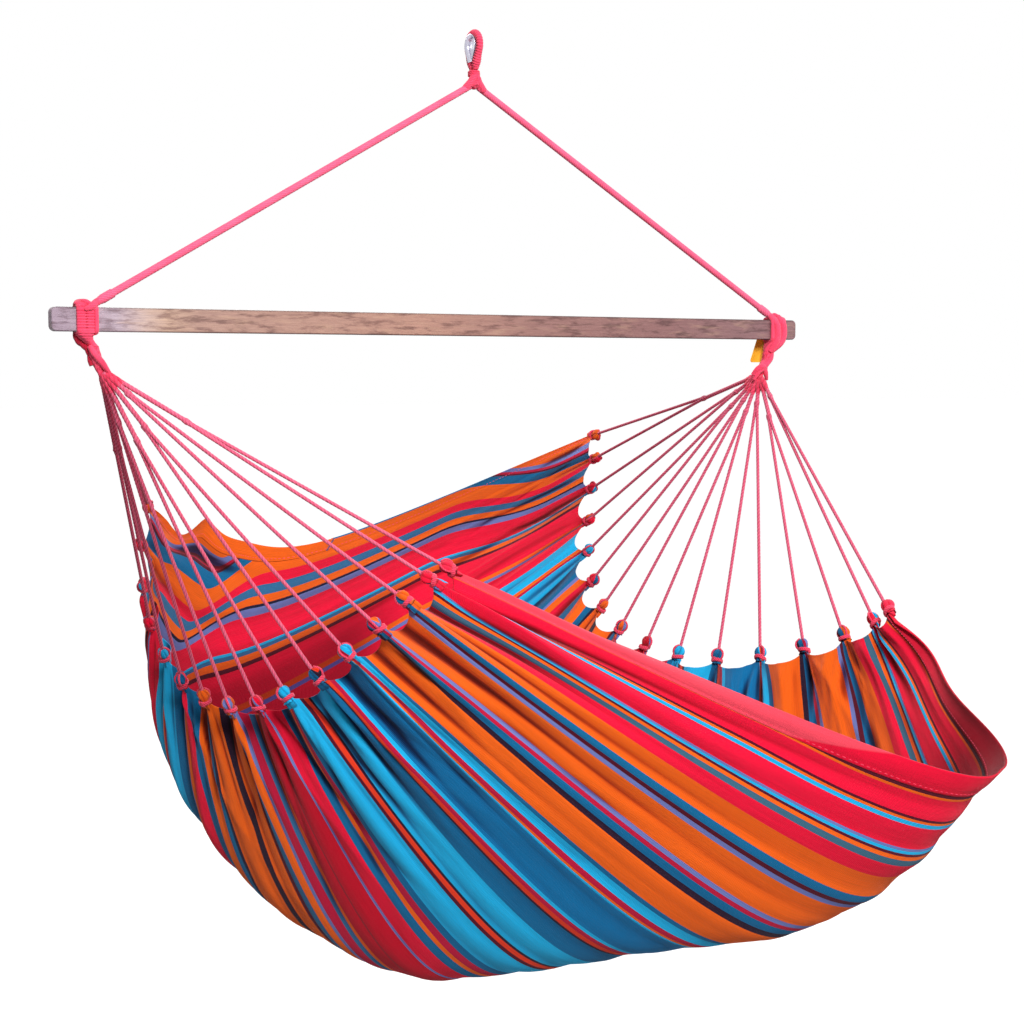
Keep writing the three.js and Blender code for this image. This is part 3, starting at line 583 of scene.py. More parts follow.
# Loops round the bar
# Each rope end is hitched into a band that grips the bar. The left one is closely ribbed,
# with its roll of rope on top; the right one is two smooth strands in a lark's head.
BAR_DEPTH = 0.020
LOOP_DROP = 0.020
BAND_THICKNESS = 0.0056
BAND_CORNER = 0.0045
BAND_STEP = 0.0006
BAND_COLUMNS = 41
BAND_LIFT = 0.0002
BAND_RIB, PLAIN_CROWN = 0.17, 0.85
BAND_INNER_SHARE = 0.985
SEAM_PLACE, SEAM_FADE, SEAM_SPREAD, SEAM_DEPTH, SEAM_SHADE = 0.0095, 0.0015, 0.0009, 0.0012, 0.7
HOLE_PLACE, HOLE_SPREAD, HOLE_DEPTH = -0.0025, 0.0016, 0.0022
SKIRT_TUCK, SKIRT_FOOT = 0.0015, 0.0085
SKIRT_ROWS, SKIRT_SIDES = 44, 64
SKIRT_RADIUS = 0.0078
SKIRT_SAG, SKIRT_WAIST = 0.0055, 0.16
SKIRT_SHARE, SKIRT_SQUARE, SKIRT_GROOVE = 0.96, 0.45, 0.10
SKIRT_TURN, SKIRT_TWIST, SKIRT_BACK_SHADE = 0.5, 1.6, 0.55
UNDER_BAR = 0.004
ROLL_PLACE, ROLL_RADII = (-0.0035, 0.0010, 0.0045), (0.0150, 0.0135, 0.0068)
ROLL_GROOVES, ROLL_GROOVE, ROLL_SKEW = 3, 0.06, 1.2
HEAD_TURNS, HEAD_FULLNESS = ((-0.0088, 0.0172), (0.0086, 0.0168)), 1.05
NECK_TOP_RADIUS = 0.010
NECK_LEAN = {"left": 0.011, "right": -0.016}
PIVOT_Z = BAR_FOOT - LOOP_DROP - ROPE_CLEARANCE - NECK_TOP_RADIUS
PIVOT = {n: np.array([LOOP_X[n] + NECK_LEAN[n], 0.0, PIVOT_Z]) for n in LOOP_X}


def round_the_bar(step):
    """A rounded oblong that just clears the bar, in the YZ plane, and its outward way."""
    straight_y = BAR_DEPTH / 2 + ROPE_CLEARANCE - BAND_CORNER
    straight_z = BAR_HEIGHT / 2 + ROPE_CLEARANCE - BAND_CORNER
    corner = []
    for k, (sy, sz) in enumerate([(1, 1), (-1, 1), (-1, -1), (1, -1)]):
        for a in np.linspace(0, math.pi / 2, 9) + k * math.pi / 2:
            y = sy * straight_y + BAND_CORNER * math.cos(a)
            corner.append([0, y, sz * straight_z + BAND_CORNER * math.sin(a)])
    line, marks = along_line(corner + corner[:1], step)
    line, marks = line[:-1], marks[:-1]
    ahead = unit(np.roll(line, -1, 0) - np.roll(line, 1, 0))
    return line + np.array([0, 0, -HOOK_RISE]), np.cross(ahead, [1.0, 0, 0]), marks


def add_band(loop, middle_x, width, height, ribs):
    """A band round the bar: across it a low arch, and across its run the hitches' ribs."""
    line, out, marks = round_the_bar(BAND_STEP)
    share = np.linspace(-1, 1, BAND_COLUMNS)
    arch = (1 - share**6) ** 0.5 * height
    top = np.repeat(arch[None, :], len(line), 0)
    crown = np.ones_like(top)
    if ribs:
        rib = np.abs(np.cos(math.pi * marks / HITCH_PITCH))[:, None]
        across = share[None, :] * width / 2
        plain = np.clip((across - SEAM_PLACE) / SEAM_FADE, 0, 1)
        seam = hump(across - SEAM_PLACE, SEAM_SPREAD)
        rib = rib * (1 - plain) + plain * PLAIN_CROWN
        hole = hump(across - HOLE_PLACE, HOLE_SPREAD) * (1 - rib)
        top = top * (1 - BAND_RIB * (1 - rib)) - HOLE_DEPTH * hole * (arch / height) - SEAM_DEPTH * seam
        # Painted shade between the ribs, in the holes and along the seam.
        crown = np.clip(rib**0.7 * (1 - hole) * (1 - SEAM_SHADE * seam), 0, 1)
    inner = np.repeat((BAND_LIFT * (1 - share**6))[None, :], len(line), 0)
    lift = np.concatenate([top, inner[:, ::-1]], 1)
    x = middle_x + np.concatenate([share, share[::-1] * BAND_INNER_SHARE]) * width / 2
    rings = line[:, None, :] + out[:, None, :] * lift[..., None]
    rings[..., 0] += x[None, :]
    # Painted shade: the inner face against the bar gets no lit colour.
    loop.add_rings(rings, np.concatenate([crown, 0 * crown], 1), closed=True)


def smooth_step(value):
    value = np.clip(value, 0, 1)
    return value * value * (3 - 2 * value)


def add_skirt(loop, loop_x, pivot, ribs):
    """The loop's strands drawn together from the bar's width down to the neck."""
    t = np.linspace(0, 1, SKIRT_ROWS)
    z_top = BAR_FOOT + SKIRT_TUCK
    z = z_top + (pivot[2] + SKIRT_FOOT - z_top) * t
    ease = smooth_step(t)
    sag = np.sin(math.pi * t) * (1.0 if ribs else 0.0)
    x = loop_x + (pivot[0] - loop_x) * ease - SKIRT_SAG * sag
    wide = (LOOP_WIDTH / 2 * SKIRT_SHARE * (1 - ease) + SKIRT_RADIUS * ease) * (1 - SKIRT_WAIST * sag)
    deep = (BAR_DEPTH / 2 + BAND_THICKNESS) * (1 - ease) + SKIRT_RADIUS * ease
    angle = TAU * np.arange(SKIRT_SIDES) / SKIRT_SIDES
    power = (SKIRT_SQUARE + (1 - SKIRT_SQUARE) * ease)[:, None]
    co, si = np.cos(angle)[None, :], np.sin(angle)[None, :]
    box_x = np.sign(co) * np.abs(co) ** power
    box_y = np.sign(si) * np.abs(si) ** power
    if ribs:
        lift = np.abs(np.cos(math.pi * z / HITCH_PITCH))[:, None] + 0 * co
        lift = 1 - (1 - lift) * (1 - ease)[:, None]
    else:
        lift = np.abs(np.cos(2 * angle[None, :] + SKIRT_TURN + SKIRT_TWIST * t[:, None]))
    spread = 1 - SKIRT_GROOVE * (1 - lift)
    across_x = x[:, None] + wide[:, None] * box_x * spread
    rings = np.stack([across_x, deep[:, None] * box_y * spread, z[:, None] + 0 * co], -1)
    # Painted shade in the grooves between strands and over the back of the skirt.
    loop.add_rings(rings, np.clip(lift**0.6 - SKIRT_BACK_SHADE * np.clip(box_y, 0, 1), 0, 1))


def ribbed_loop(loop, loop_x, pivot, foot, climb):
    """The left loop: a ribbed band, its roll on top, and the rope's end led over the front."""
    top, under = np.array([loop_x, 0, BAR_TOP]), np.array([loop_x, 0, BAR_FOOT - UNDER_BAR])
    add_band(loop, loop_x, LOOP_WIDTH, BAND_THICKNESS, True)
    loop.add_rings(*lumpy_ball(top + ROLL_PLACE, ROLL_RADII, ROLL_GROOVES, ROLL_GROOVE, ROLL_SKEW))
    tail = [
        foot + climb * 0.010,
        foot,
        foot + [-0.004, -0.005, -0.003],
        top + [0.004, -0.0150, -0.0005],
        top + [-0.006, -0.0158, -0.0040],
    ]
    strand(loop, tail, [0.0056, 0.0058, 0.0056, 0.0048, 0.0030], strands=8, pitch=0.05, groove=0.06)
    turn = [
        top + [-0.012, 0.0120, 0.0020],
        top + [-0.012, 0.0060, 0.0080],
        top + [-0.001, -0.0090, 0.0085],
        top + [0.008, -0.0135, 0.0010],
    ]
    strand(loop, turn, [0.0030, 0.0040, 0.0040, 0.0030], strands=8, pitch=0.05, groove=0.06)
    # Painted shade: the strand down the back of the loop is drawn all in the shade colour.
    stray = [
        under + [-0.0120, 0.007, 0.004],
        under + [-0.0115, 0.006, -0.008],
        pivot + [-0.0095, 0.002, 0.006],
        pivot + [-0.0060, 0.002, -0.004],
    ]
    strand(loop, stray, [0.0062, 0.0058, 0.0048, 0.0036], slub_and_shade_tone=0.0)


def larks_head(loop, loop_x, pivot, foot, climb):
    """The right loop: two smooth turns side by side, with both ends led down the front."""
    top, bottom = np.array([loop_x, 0, BAR_TOP]), np.array([loop_x, 0, BAR_FOOT])
    for shift, wide in HEAD_TURNS:
        add_band(loop, loop_x + shift, wide, BAND_THICKNESS * HEAD_FULLNESS, False)
    bridge = [top + [-0.012, 0, 0.0045], top + [0, 0, 0.0080], top + [0.012, 0, 0.0045]]
    strand(loop, bridge, [0.0045, 0.0062, 0.0040], groove=0.06)
    tail = [
        foot + climb * 0.012,
        foot,
        foot + [0.004, -0.007, -0.009],
        top + [-0.005, -0.0160, -0.010],
        bottom + [-0.004, -0.0160, 0.006],
        bottom + [-0.006, -0.0135, -0.004],
        pivot + [0.001, -0.006, 0.008],
    ]
    tail_radii = [0.0056, 0.0060, 0.0066, 0.0068, 0.0068, 0.0066, 0.0052]
    strand(loop, tail, tail_radii, strands=8, pitch=0.06, groove=0.03)
    over = [
        top + [0.004, -0.0040, 0.0070],
        top + [0.009, -0.0140, -0.0040],
        bottom + [0.010, -0.0160, 0.0120],
        bottom + [0.007, -0.0145, -0.0040],
        pivot + [0.004, -0.006, 0.008],
    ]
    over_radii = [0.0050, 0.0066, 0.0068, 0.0066, 0.0050]
    # Painted shade: this strand is drawn a little darker than the tail beside it.
    strand(loop, over, over_radii, strands=8, pitch=0.06, groove=0.03, slub_and_shade_tone=0.95)


for name, loop_x in LOOP_X.items():
    loop, pivot, foot = Stack(), PIVOT[name], rope_foot(name)
    climb = unit(CROWN_CENTRE - foot)
    add_skirt(loop, loop_x, pivot, name == "left")
    if name == "left":
        ribbed_loop(loop, loop_x, pivot, foot, climb)
    else:
        larks_head(loop, loop_x, pivot, foot, climb)
    loop.make("bar_band_" + name, rope_cotton, "yoke", "rope", ["bar_loop_" + name])

# Blank tag
# A plain yellow card, without print, that hangs behind the right neck by the loop's end.
# It is thin board, a little bowed by the damp, with corners rounded by a die cutter.
LOOP_SKIN = 0.006
TAG_WIDTH = 0.044
TAG_LENGTH = 0.056
TAG_THICKNESS = 0.0009
TAG_DROP = 0.004
TAG_TILT_SHARE = 0.1
TAG_LEAN_SHARE = 0.3
TAG_CORNER = 0.006
TAG_BOW = 0.0012
TAG_COLUMNS, TAG_ROWS, TAG_CORNER_ROWS = 15, 17, 9

tag_top = -HOOK_RISE - TAG_DROP
tag_back = BAR_DEPTH / 2 + LOOP_SKIN + 2 * ROPE_CLEARANCE
into_corner = np.linspace(0, 1, TAG_CORNER_ROWS)[:-1] ** 2 * TAG_CORNER
down = np.linspace(TAG_CORNER, TAG_LENGTH - TAG_CORNER, TAG_ROWS)
down = np.concatenate([into_corner, down, TAG_LENGTH - into_corner[::-1]])
inset = np.clip(TAG_CORNER - np.minimum(down, TAG_LENGTH - down), 0, TAG_CORNER)
half = TAG_WIDTH / 2 - TAG_CORNER + np.sqrt(np.clip(TAG_CORNER**2 - inset**2, 0, None))
rings = []
for far, wide in zip(down, half):
    across = np.linspace(-1, 1, TAG_COLUMNS) * wide
    x = LOOP_X["right"] + across - TAG_LEAN_SHARE * far
    bow = TAG_BOW * (1 - (across / TAG_WIDTH * 2) ** 2)
    y = tag_back + TAG_TILT_SHARE * far + bow
    face = np.stack([x, y, np.full(TAG_COLUMNS, tag_top - far)], 1)
    rings.append(np.vstack([face, face[::-1] + [0, TAG_THICKNESS, 0]]))
card = Finish("yellow_card", 0.62, specular=0.3)
fibres = card.noise(card.place((90.0, 90.0, 400.0)), 6.0, 4.0)
board = card.mix(fibres, srgb(0.92, 0.62, 0.10), srgb(1.0, 0.76, 0.20))
rubbed = card.rise(card.noise(card.place(), 55.0, 3.0), 0.58, 0.75, 0.5)
board = card.mix(rubbed, board, srgb(0.62, 0.62, 0.22))
points, faces = skin_rings(np.array(rings))
yellow_card = card.coat(board, fibres, rise=0.0001)
make_piece("plain_tag", points, faces, yellow_card, "yoke", ["blank_tag"])

# Striped cloth
# One length of hand-loom cotton, stripes running from side to side. Its two selvages are
# gathered on the cords, so it falls in deep pleats at both sides and smooth in the middle.
FAN_SHIFT = {"left": 0.009, "right": -0.018}
FAN_DROP = {"left": 0.025, "right": 0.034}
FAN = {n: PIVOT[n] + np.array([FAN_SHIFT[n], 0, -FAN_DROP[n]]) for n in LOOP_X}
CORD_LENGTH = 0.580
CLOTH_SPAN = 1.300
CLOTH_WIDTH = 1.900
CLOTH_THICKNESS = 0.0014
FRONT_HEM_WIDTH = 0.042
BACK_HEM_WIDTH = 0.024
FRONT_SEAM = FRONT_HEM_WIDTH / CLOTH_WIDTH
BACK_SEAM = 1 - BACK_HEM_WIDTH / CLOTH_WIDTH
KNOTS_A_SIDE = 16
INTERVALS = KNOTS_A_SIDE - 1
KNOT_SHARES = [FRONT_SEAM / 2] + [k / INTERVALS for k in range(1, INTERVALS)] + [(1 + BACK_SEAM) / 2]
LEFT_EDGE_SHARES = [
    (0.86, -0.35, -0.54),
    (0.44, -0.71, -0.53),
    (0.41, -0.01, -1.38),
    (0.15, 0.54, -0.9),
    (0.39, 0.82, -0.42),
]
RIGHT_EDGE_SHARES = [
    (-0.1, -0.74, -0.67),
    (0.03, -0.54, -0.85),
    (-0.82, 0.46, -1.26),
    (-0.06, 0.82, -0.55),
    (-0.01, 0.98, -0.22),
]
TURN_SHARES = [
    (0.183, -0.319, -0.185),
    (0.142, -0.224, -0.314),
    (0.013, -0.16, -0.324),
    (-0.122, -0.126, -0.346),
    (-0.24, -0.075, -0.287),
    (-0.297, -0.044, -0.203),
    (-0.2, -0.102, -0.107),
]
TURN_SHARPNESS = (2.5, 3.1, 3.0)
PLEAT_DEPTH, PLEAT_REACH = 0.015, 0.200
RIDGE_DEPTH, RIDGE_REACH, RIDGES = 0.0075, 0.300, 3
RIDGE_BEND, RIDGE_WANDER, RIDGE_MIDDLE = 1.4, 2.3, 0.6
GATHER_DEPTH, GATHER_REACH, GATHER_LEAN = 0.008, 0.110, 0.006
TIGHT_REACH, TIGHT_SHARE = 0.030, 0.4
PEAK_RISE, PEAK_REACH, PEAK_WIDTH = 0.012, 0.030, 0.30
SCALLOP_LEFT, SCALLOP_RIGHT, SCALLOP_REACH = 0.013, 0.024, 0.060
PINCH_SHARE, PINCH_REACH = 0.72, 0.070
CREASES_A_SIDE, CREASE_SPREAD = 95, 2.2
RIPPLE_COUNT, RIPPLE_DRIFT = 14, 2.4
STILL_EDGE, STILL_SHARE, LEAN_EDGE = 0.03, 0.25, 0.04
FRONT_WAVE, FRONT_WAVE_FROM, FRONT_WAVE_TO, FRONT_WAVE_FADE = 0.014, 0.56, 0.98, 0.06
FRONT_WAVES = 3
HOOD_RISE, HOOD_PLACE, HOOD_SPREAD, HOOD_START = 0.036, 0.28, 0.060, 0.94
HOOD_DIP, HOOD_DIP_PLACE, HOOD_DIP_SPREAD = 0.022, 0.15, 0.07
BROW_RISE, BROW_PLACE, BROW_SPREAD = 0.014, 0.41, 0.080
HOOD_FOLD, HOOD_FOLD_PLACE, HOOD_FOLD_SPREAD = 0.018, 0.30, 0.096
HOOD_FOLD_DOWN, HOOD_FOLD_WIDTH = 0.042, 0.011
FOLD_SHADE, FOLD_SPAN = 0.0040, 5
ROLLED, ROLLED_FADE, HEM_ROLLED_FROM = 0.100, 0.620, 0.55
ROLL_STARTS = ((0.18, 0.10, 0.12), (0.82, 0.36, 0.13))
ROLL_END, ROLL_END_FADE = 0.74, 0.20
COVERED, COVERED_FADE, COVERED_TO, COVERED_TO_FADE = 0.010, 0.110, 0.29, 0.12
POUCH_RIM, POUCH_RIM_FADE, POUCH_SIDE, POUCH_SIDE_FADE = 0.915, 0.075, 0.345, 0.110
CLOTH_ROWS, CLOTH_COLUMNS = 430, 200
COLUMN_CROWDING = 0.085
TUCK = 0.0004
LEFT_EDGE = FAN["left"] + np.array(LEFT_EDGE_SHARES) * CORD_LENGTH
RIGHT_EDGE = FAN["right"] + np.array(RIGHT_EDGE_SHARES) * CORD_LENGTH


def bezier(points, s):
    s = np.asarray(s)[..., None]
    rows = [p + 0 * s for p in points]
    while len(rows) > 1:
        rows = [a * (1 - s) + b * s for a, b in zip(rows[:-1], rows[1:])]
    return rows[0]


def through(points, s):
    """A smooth line through all the points."""
    last = len(points) - 1
    at = np.clip(np.asarray(s) * last, 0, last)
    i = np.minimum(at.astype(int), last - 1)
    f = (at - i)[..., None]
    row = np.vstack([2 * points[0] - points[1], points, 2 * points[-1] - points[-2]])
    a, b, c, d = row[i], row[i + 1], row[i + 2], row[i + 3]
    return 0.5 * (2 * b + (c - a) * f + (2 * a - 5 * b + 4 * c - d) * f**2 + (3 * b - a - 3 * c + d) * f**3)


turn_at = np.linspace(0, 1, len(TURN_SHARES))
TURN = (bezier(LEFT_EDGE, turn_at) + bezier(RIGHT_EDGE, turn_at)) / 2 + np.array(TURN_SHARES) * CLOTH_SPAN


def stripe_point(s, u):
    """A place on the smooth cloth: s across the stripes, front to back, u along them."""
    front, middle, back = TURN_SHARPNESS
    w = np.where(s < 0.5, front + (middle - front) * 2 * s, middle + (back - middle) * (2 * s - 1))
    left, right, turn = bezier(LEFT_EDGE, s), bezier(RIGHT_EDGE, s), through(TURN, s)
    pull = (turn * 2 * (1 + w)[..., None] - left - right) / (2 * w)[..., None]
    f = 4 * w * np.minimum(u, 1 - u) / (1 + 2 * w)
    ratio = f / (2 * w * (1 - f))
    t = np.where(u < 0.5, ratio / (1 + ratio), 1 / (1 + ratio))
    a, b, c = (1 - t) ** 2, 2 * w * t * (1 - t), t * t
    return (left * a[..., None] + pull * b[..., None] + right * c[..., None]) / (a + b + c)[..., None]


draw = np.random.default_rng(1142)
CREASES = [
    {
        "side": side,
        "place": draw.uniform(0.0, 1.0),
        "slant": draw.normal(0, 0.10),
        "width": draw.uniform(0.006, 0.016),
        "reach": draw.uniform(0.12, 0.46),
        "depth": draw.uniform(0.0016, 0.0060) * draw.choice([-1, -1, 1]),
    }
    for side in ("left", "right")
    for _ in range(CREASES_A_SIDE)
]
RIPPLES = [
    (draw.uniform(7, 26), draw.uniform(0.5, 3.0), draw.uniform(0, TAU), draw.uniform(0.0003, 0.0010))
    for _ in range(RIPPLE_COUNT)
]


def pleat_phase(s):
    """How far along its pleat a place is: a whole turn from each knot to the next."""
    inside = np.interp(s, KNOT_SHARES, TAU * np.arange(KNOTS_A_SIDE))
    before, after = np.minimum(s - KNOT_SHARES[0], 0), np.maximum(s - KNOT_SHARES[-1], 0)
    return inside + (before + after) * TAU * INTERVALS


def fold_depth(s, u):
    """How far the folds push the cloth out of its smooth shape, outwards at ridges."""
    reach = np.minimum(u, 1 - u) * CLOTH_SPAN
    phase = pleat_phase(s)
    between = (1 - np.cos(phase)) / 2
    loose = 1 - hump(reach, TIGHT_REACH) * (1 - TIGHT_SHARE * between)
    push = -PLEAT_DEPTH * between * np.exp(-reach / PLEAT_REACH)
    push = push - GATHER_DEPTH * between**2 * hump(reach, GATHER_REACH)
    ridge = np.abs(np.cos(RIDGES * phase / 2 + RIDGE_BEND * reach * np.sin(RIDGE_WANDER * phase / TAU)))
    push = push + RIDGE_DEPTH * (ridge**0.8 - RIDGE_MIDDLE) * np.exp(-reach / RIDGE_REACH) * loose
    place = np.clip((u - FRONT_WAVE_FROM) / (FRONT_WAVE_TO - FRONT_WAVE_FROM), 0, 1)
    push = push + FRONT_WAVE * np.sin(place * FRONT_WAVES * math.pi) * np.exp(-s / FRONT_WAVE_FADE)
    for crease in CREASES:
        mine = u < 0.5 if crease["side"] == "left" else u >= 0.5
        away = np.abs(s - crease["place"] - crease["slant"] * reach) * CLOTH_WIDTH
        away = away / (crease["width"] * (1 + CREASE_SPREAD * reach))
        push = push + mine * loose * crease["depth"] * np.exp(-(away**1.4) - (reach / crease["reach"]) ** 2)
    still = np.clip(np.minimum(s, 1 - s) / STILL_EDGE, STILL_SHARE, 1)
    for many, slow, offset, size in RIPPLES:
        push = push + loose * still * size * np.sin(TAU * many * s + slow * RIPPLE_DRIFT * u + offset)
    under_hood = hump(u - HOOD_FOLD_PLACE, HOOD_FOLD_SPREAD)
    down = (1 - s) * CLOTH_WIDTH
    return push + HOOD_FOLD * under_hood * hump(down - HOOD_FOLD_DOWN, HOOD_FOLD_WIDTH)


def hood_rise(s, u):
    """How far the back edge is lifted at its hood and brow, and let down between hood and side."""
    back = np.clip((s - HOOD_START) / (1 - HOOD_START), 0, 1)
    hood = HOOD_RISE * np.exp(-(np.abs((u - HOOD_PLACE) / HOOD_SPREAD) ** 1.5))
    dip = HOOD_DIP * hump(u - HOOD_DIP_PLACE, HOOD_DIP_SPREAD)
    brow = BROW_RISE * hump(u - BROW_PLACE, BROW_SPREAD)
    reach = np.minimum(u, 1 - u) * CLOTH_SPAN
    return (hood - dip + brow) * back * back * (1 - np.exp(-reach / SCALLOP_REACH))


def cloth_point(s, u, peaks=True):
    """The middle of the hanging cloth, with all its folds, and the way out from it."""
    s, u = np.broadcast_arrays(np.asarray(s, float), np.asarray(u, float))
    inwards = np.where(u < 0.5, 1, -1)
    reach = np.minimum(u, 1 - u) * CLOTH_SPAN
    phase = pleat_phase(s)
    pinch = PINCH_SHARE * np.exp(-reach / PINCH_REACH)
    across = np.clip(s - pinch * np.sin(phase) / (TAU * INTERVALS), 0, 1)
    bay = np.abs(np.sin(pleat_phase(across) / 2))
    fall = np.where(u < 0.5, SCALLOP_LEFT, SCALLOP_RIGHT) * bay**0.9 * np.exp(-reach / SCALLOP_REACH)
    if peaks:
        fall = fall - PEAK_RISE * np.exp(-bay / PEAK_WIDTH - (reach / PEAK_REACH) ** 2)
    along = u + inwards * fall / CLOTH_SPAN
    inner = np.clip(along, 0, 1)
    step = 1e-3
    low = np.clip(across - step, 0, 1 - 2 * step)
    ds = stripe_point(low + 2 * step, inner) - stripe_point(low, inner)
    start = np.clip(inner - step, 0, 1 - 2 * step)
    du = stripe_point(across, start + 2 * step) - stripe_point(across, start)
    out = unit(np.cross(ds, du))
    lean = inwards * GATHER_LEAN * np.abs(np.sin(phase / 2)) ** 4
    lean = lean * hump(reach, GATHER_REACH) * np.clip(np.minimum(s, 1 - s) / LEAN_EDGE, 0, 1)
    beyond = np.abs(inner - along) * CLOTH_SPAN * -inwards
    point = stripe_point(across, inner) + unit(du) * beyond[..., None]
    point = point + out * fold_depth(s, u)[..., None] + unit(ds) * lean[..., None]
    point[..., 2] += hood_rise(s, u)
    return point, out


def woven_place(s, u, hem):
    """The stripe that shows at a place: both edges are rolled over the first stripes in parts."""
    down = (1 - s) * CLOTH_WIDTH
    rolled = sum(share * smooth_step((u - start) / fade) for share, start, fade in ROLL_STARTS)
    rolled = ROLLED * rolled * (1 - smooth_step((u - ROLL_END) / ROLL_END_FADE))
    rolled = rolled * (1 - smooth_step(down / ROLLED_FADE))
    if hem:
        return s - np.where(u < HEM_ROLLED_FROM, 0.0, rolled) / CLOTH_WIDTH
    below = s * CLOTH_WIDTH - FRONT_HEM_WIDTH
    covered = COVERED * (1 - smooth_step((u - COVERED_TO) / COVERED_TO_FADE))
    covered = covered * (1 - smooth_step(below / COVERED_FADE))
    return s + (covered - rolled) / CLOTH_WIDTH


def pouch_shade(s, u):
    """How deep inside the pouch a place is, for the painted shade that darkens the threads there."""
    from_rim = smooth_step((POUCH_RIM - s) / POUCH_RIM_FADE)
    side = np.minimum(u, 1 - u)
    return from_rim * smooth_step((side - POUCH_SIDE + POUCH_SIDE_FADE) / POUCH_SIDE_FADE)


def hollows(s, u):
    """How deep in a fold each place is, seen from outside, and seen from inside: the amount of painted shade
    in the folds.
    """
    depth = fold_depth(s, u)
    rows = np.arange(len(depth))
    shifts = range(-FOLD_SPAN, FOLD_SPAN + 1)
    around = sum(depth[np.clip(rows + shift, 0, rows[-1])] for shift in shifts) / len(shifts)
    valley = (around - depth) / FOLD_SHADE
    return [np.clip(valley, 0, 1).ravel(), np.clip(-valley, 0, 1).ravel()]


def sheet_mesh(s, u, half, hem=False):
    """A closed sheet over a grid of places, of a given half thickness at each."""
    rows, columns = len(s), len(u)
    count = rows * columns
    s, u = s[:, None], u[None, :]
    middle, out = cloth_point(s, u)
    offset = out * np.broadcast_to(half, (rows, columns))[..., None]
    points = np.vstack([(middle + offset).reshape(-1, 3), (middle - offset).reshape(-1, 3)])
    i, j = np.meshgrid(np.arange(rows - 1), np.arange(columns - 1), indexing="ij")
    a = (i * columns + j).ravel()
    top = np.stack([a, a + columns, a + columns + 1, a + 1], 1)
    under = np.stack([a, a + 1, a + columns + 1, a + columns], 1) + count
    first, left = np.arange(columns - 1), np.arange(rows - 1, 0, -1) * columns
    right, last = np.arange(rows - 1) * columns + columns - 1, count - 1 - first
    rim = np.concatenate([first, right, last, left])
    after = np.roll(rim, -1)
    side = np.stack([rim, after, count + after, count + rim], 1)
    carried = {
        "across": np.tile(woven_place(s, u, hem).ravel(), 2),
        "along": np.tile(u.ravel(), 2 * rows),
        "hollow": np.concatenate(hollows(s, u)),
        "inside": np.repeat([0.0, 1.0], count),
        # The inner face carries the pouch's painted shade, the outer face none.
        "deep": np.concatenate([np.zeros(count), pouch_shade(s, u).ravel()]),
    }
    return points, np.vstack([top, under, side]).tolist(), carried


DYES = {
    "coral": (0.98, 0.16, 0.30),
    "orange": (1.0, 0.41, 0.07),
    "red": (0.98, 0.05, 0.23),
    "navy": (0.09, 0.10, 0.22),
    "sky": (0.10, 0.72, 0.94),
    "black": (0.15, 0.06, 0.16),
    "teal_grey": (0.24, 0.42, 0.52),
    "teal": (0.02, 0.42, 0.62),
    "maroon": (0.35, 0.03, 0.14),
    "lavender": (0.45, 0.50, 0.76),
    "crimson": (0.78, 0.06, 0.24),
    "deep_teal": (0.0, 0.46, 0.69),
    "orange_red": (0.95, 0.24, 0.12),
    "dark_red": (0.80, 0.01, 0.15),
    "rose_brown": (0.52, 0.16, 0.20),
    "grey_blue": (0.20, 0.44, 0.62),
}
# Front to back: each stripe's dye and its width, nearly in millimetres, as all are scaled to fill the cloth
# The maroon stripe right below the coral hem is partly a real maroon stripe and partly painted shadow under
# the hem's edge.
STRIPES = """
coral 42, maroon 5, orange 5, red 36, maroon 5, orange 3, sky 7, red 41, lavender 4, sky 4, maroon 4,
orange 8, teal_grey 10, red 29, orange 45, teal 15, maroon 9, lavender 9, orange 66, lavender 9,
crimson 10, teal 14, black 12, orange 57, teal 10, sky 18, crimson 10, orange 4, sky 5, deep_teal 72,
sky 5, crimson 9, orange_red 9, black 4, teal 38, sky 52, black 6, orange_red 9, maroon 5, sky 50,
teal 14, crimson 12, orange 10, teal 18, red 30, lavender 5, dark_red 40, rose_brown 4, dark_red 30,
orange 9, grey_blue 12, crimson 19, lavender 9, orange 18, grey_blue 18, maroon 10, orange 38,
black 14, orange 66, navy 10, teal 15, orange 28, teal 30, red 40, orange 20, lavender 8, teal 40,
sky 50, crimson 10, orange 8, sky 42, red 36, lavender 9, orange 9, red 58, maroon 9, orange 12,
grey_blue 8, sky 5, red 55, lavender 14, navy 6, orange 15, grey_blue 18, red 20, orange 40, teal 24,
maroon 6, crimson 8, lavender 14, orange 48
"""
RAMP_STOPS = 30
THREADS = 150.0
THREAD_RELIEF = 0.00035
# Tints that darken the cloth with painted shade, from no fold to the deepest.
FOLD_SHADE_TONES = [
    (0.0, WHITE),
    (0.30, srgb(0.96, 0.93, 0.94)),
    (0.62, srgb(0.78, 0.64, 0.70)),
    (1.0, srgb(0.42, 0.24, 0.34)),
]


def weave(finish, slubs):
    """The threads of the flat cloth: where each place is on it, the slubs, and the relief."""
    across, along = finish.carried("across"), finish.carried("along")
    run = finish.math("MULTIPLY", along, CLOTH_SPAN)
    where = finish.node("CombineXYZ", X=run, Y=finish.math("MULTIPLY", across, CLOTH_WIDTH)).outputs[0]
    slub = finish.noise(finish.place((slubs, 900.0, 1.0), where), 1.0, 2.0)
    waves = []
    for way in ("X", "Y"):
        wave = finish.node("TexWave", {"bands_direction": way}, Vector=where, Scale=THREADS, Distortion=0.6)
        waves.append(wave.outputs["Fac"])
    relief = finish.math("ADD", finish.math("ADD", *waves), slub)
    return across, along, where, slub, relief


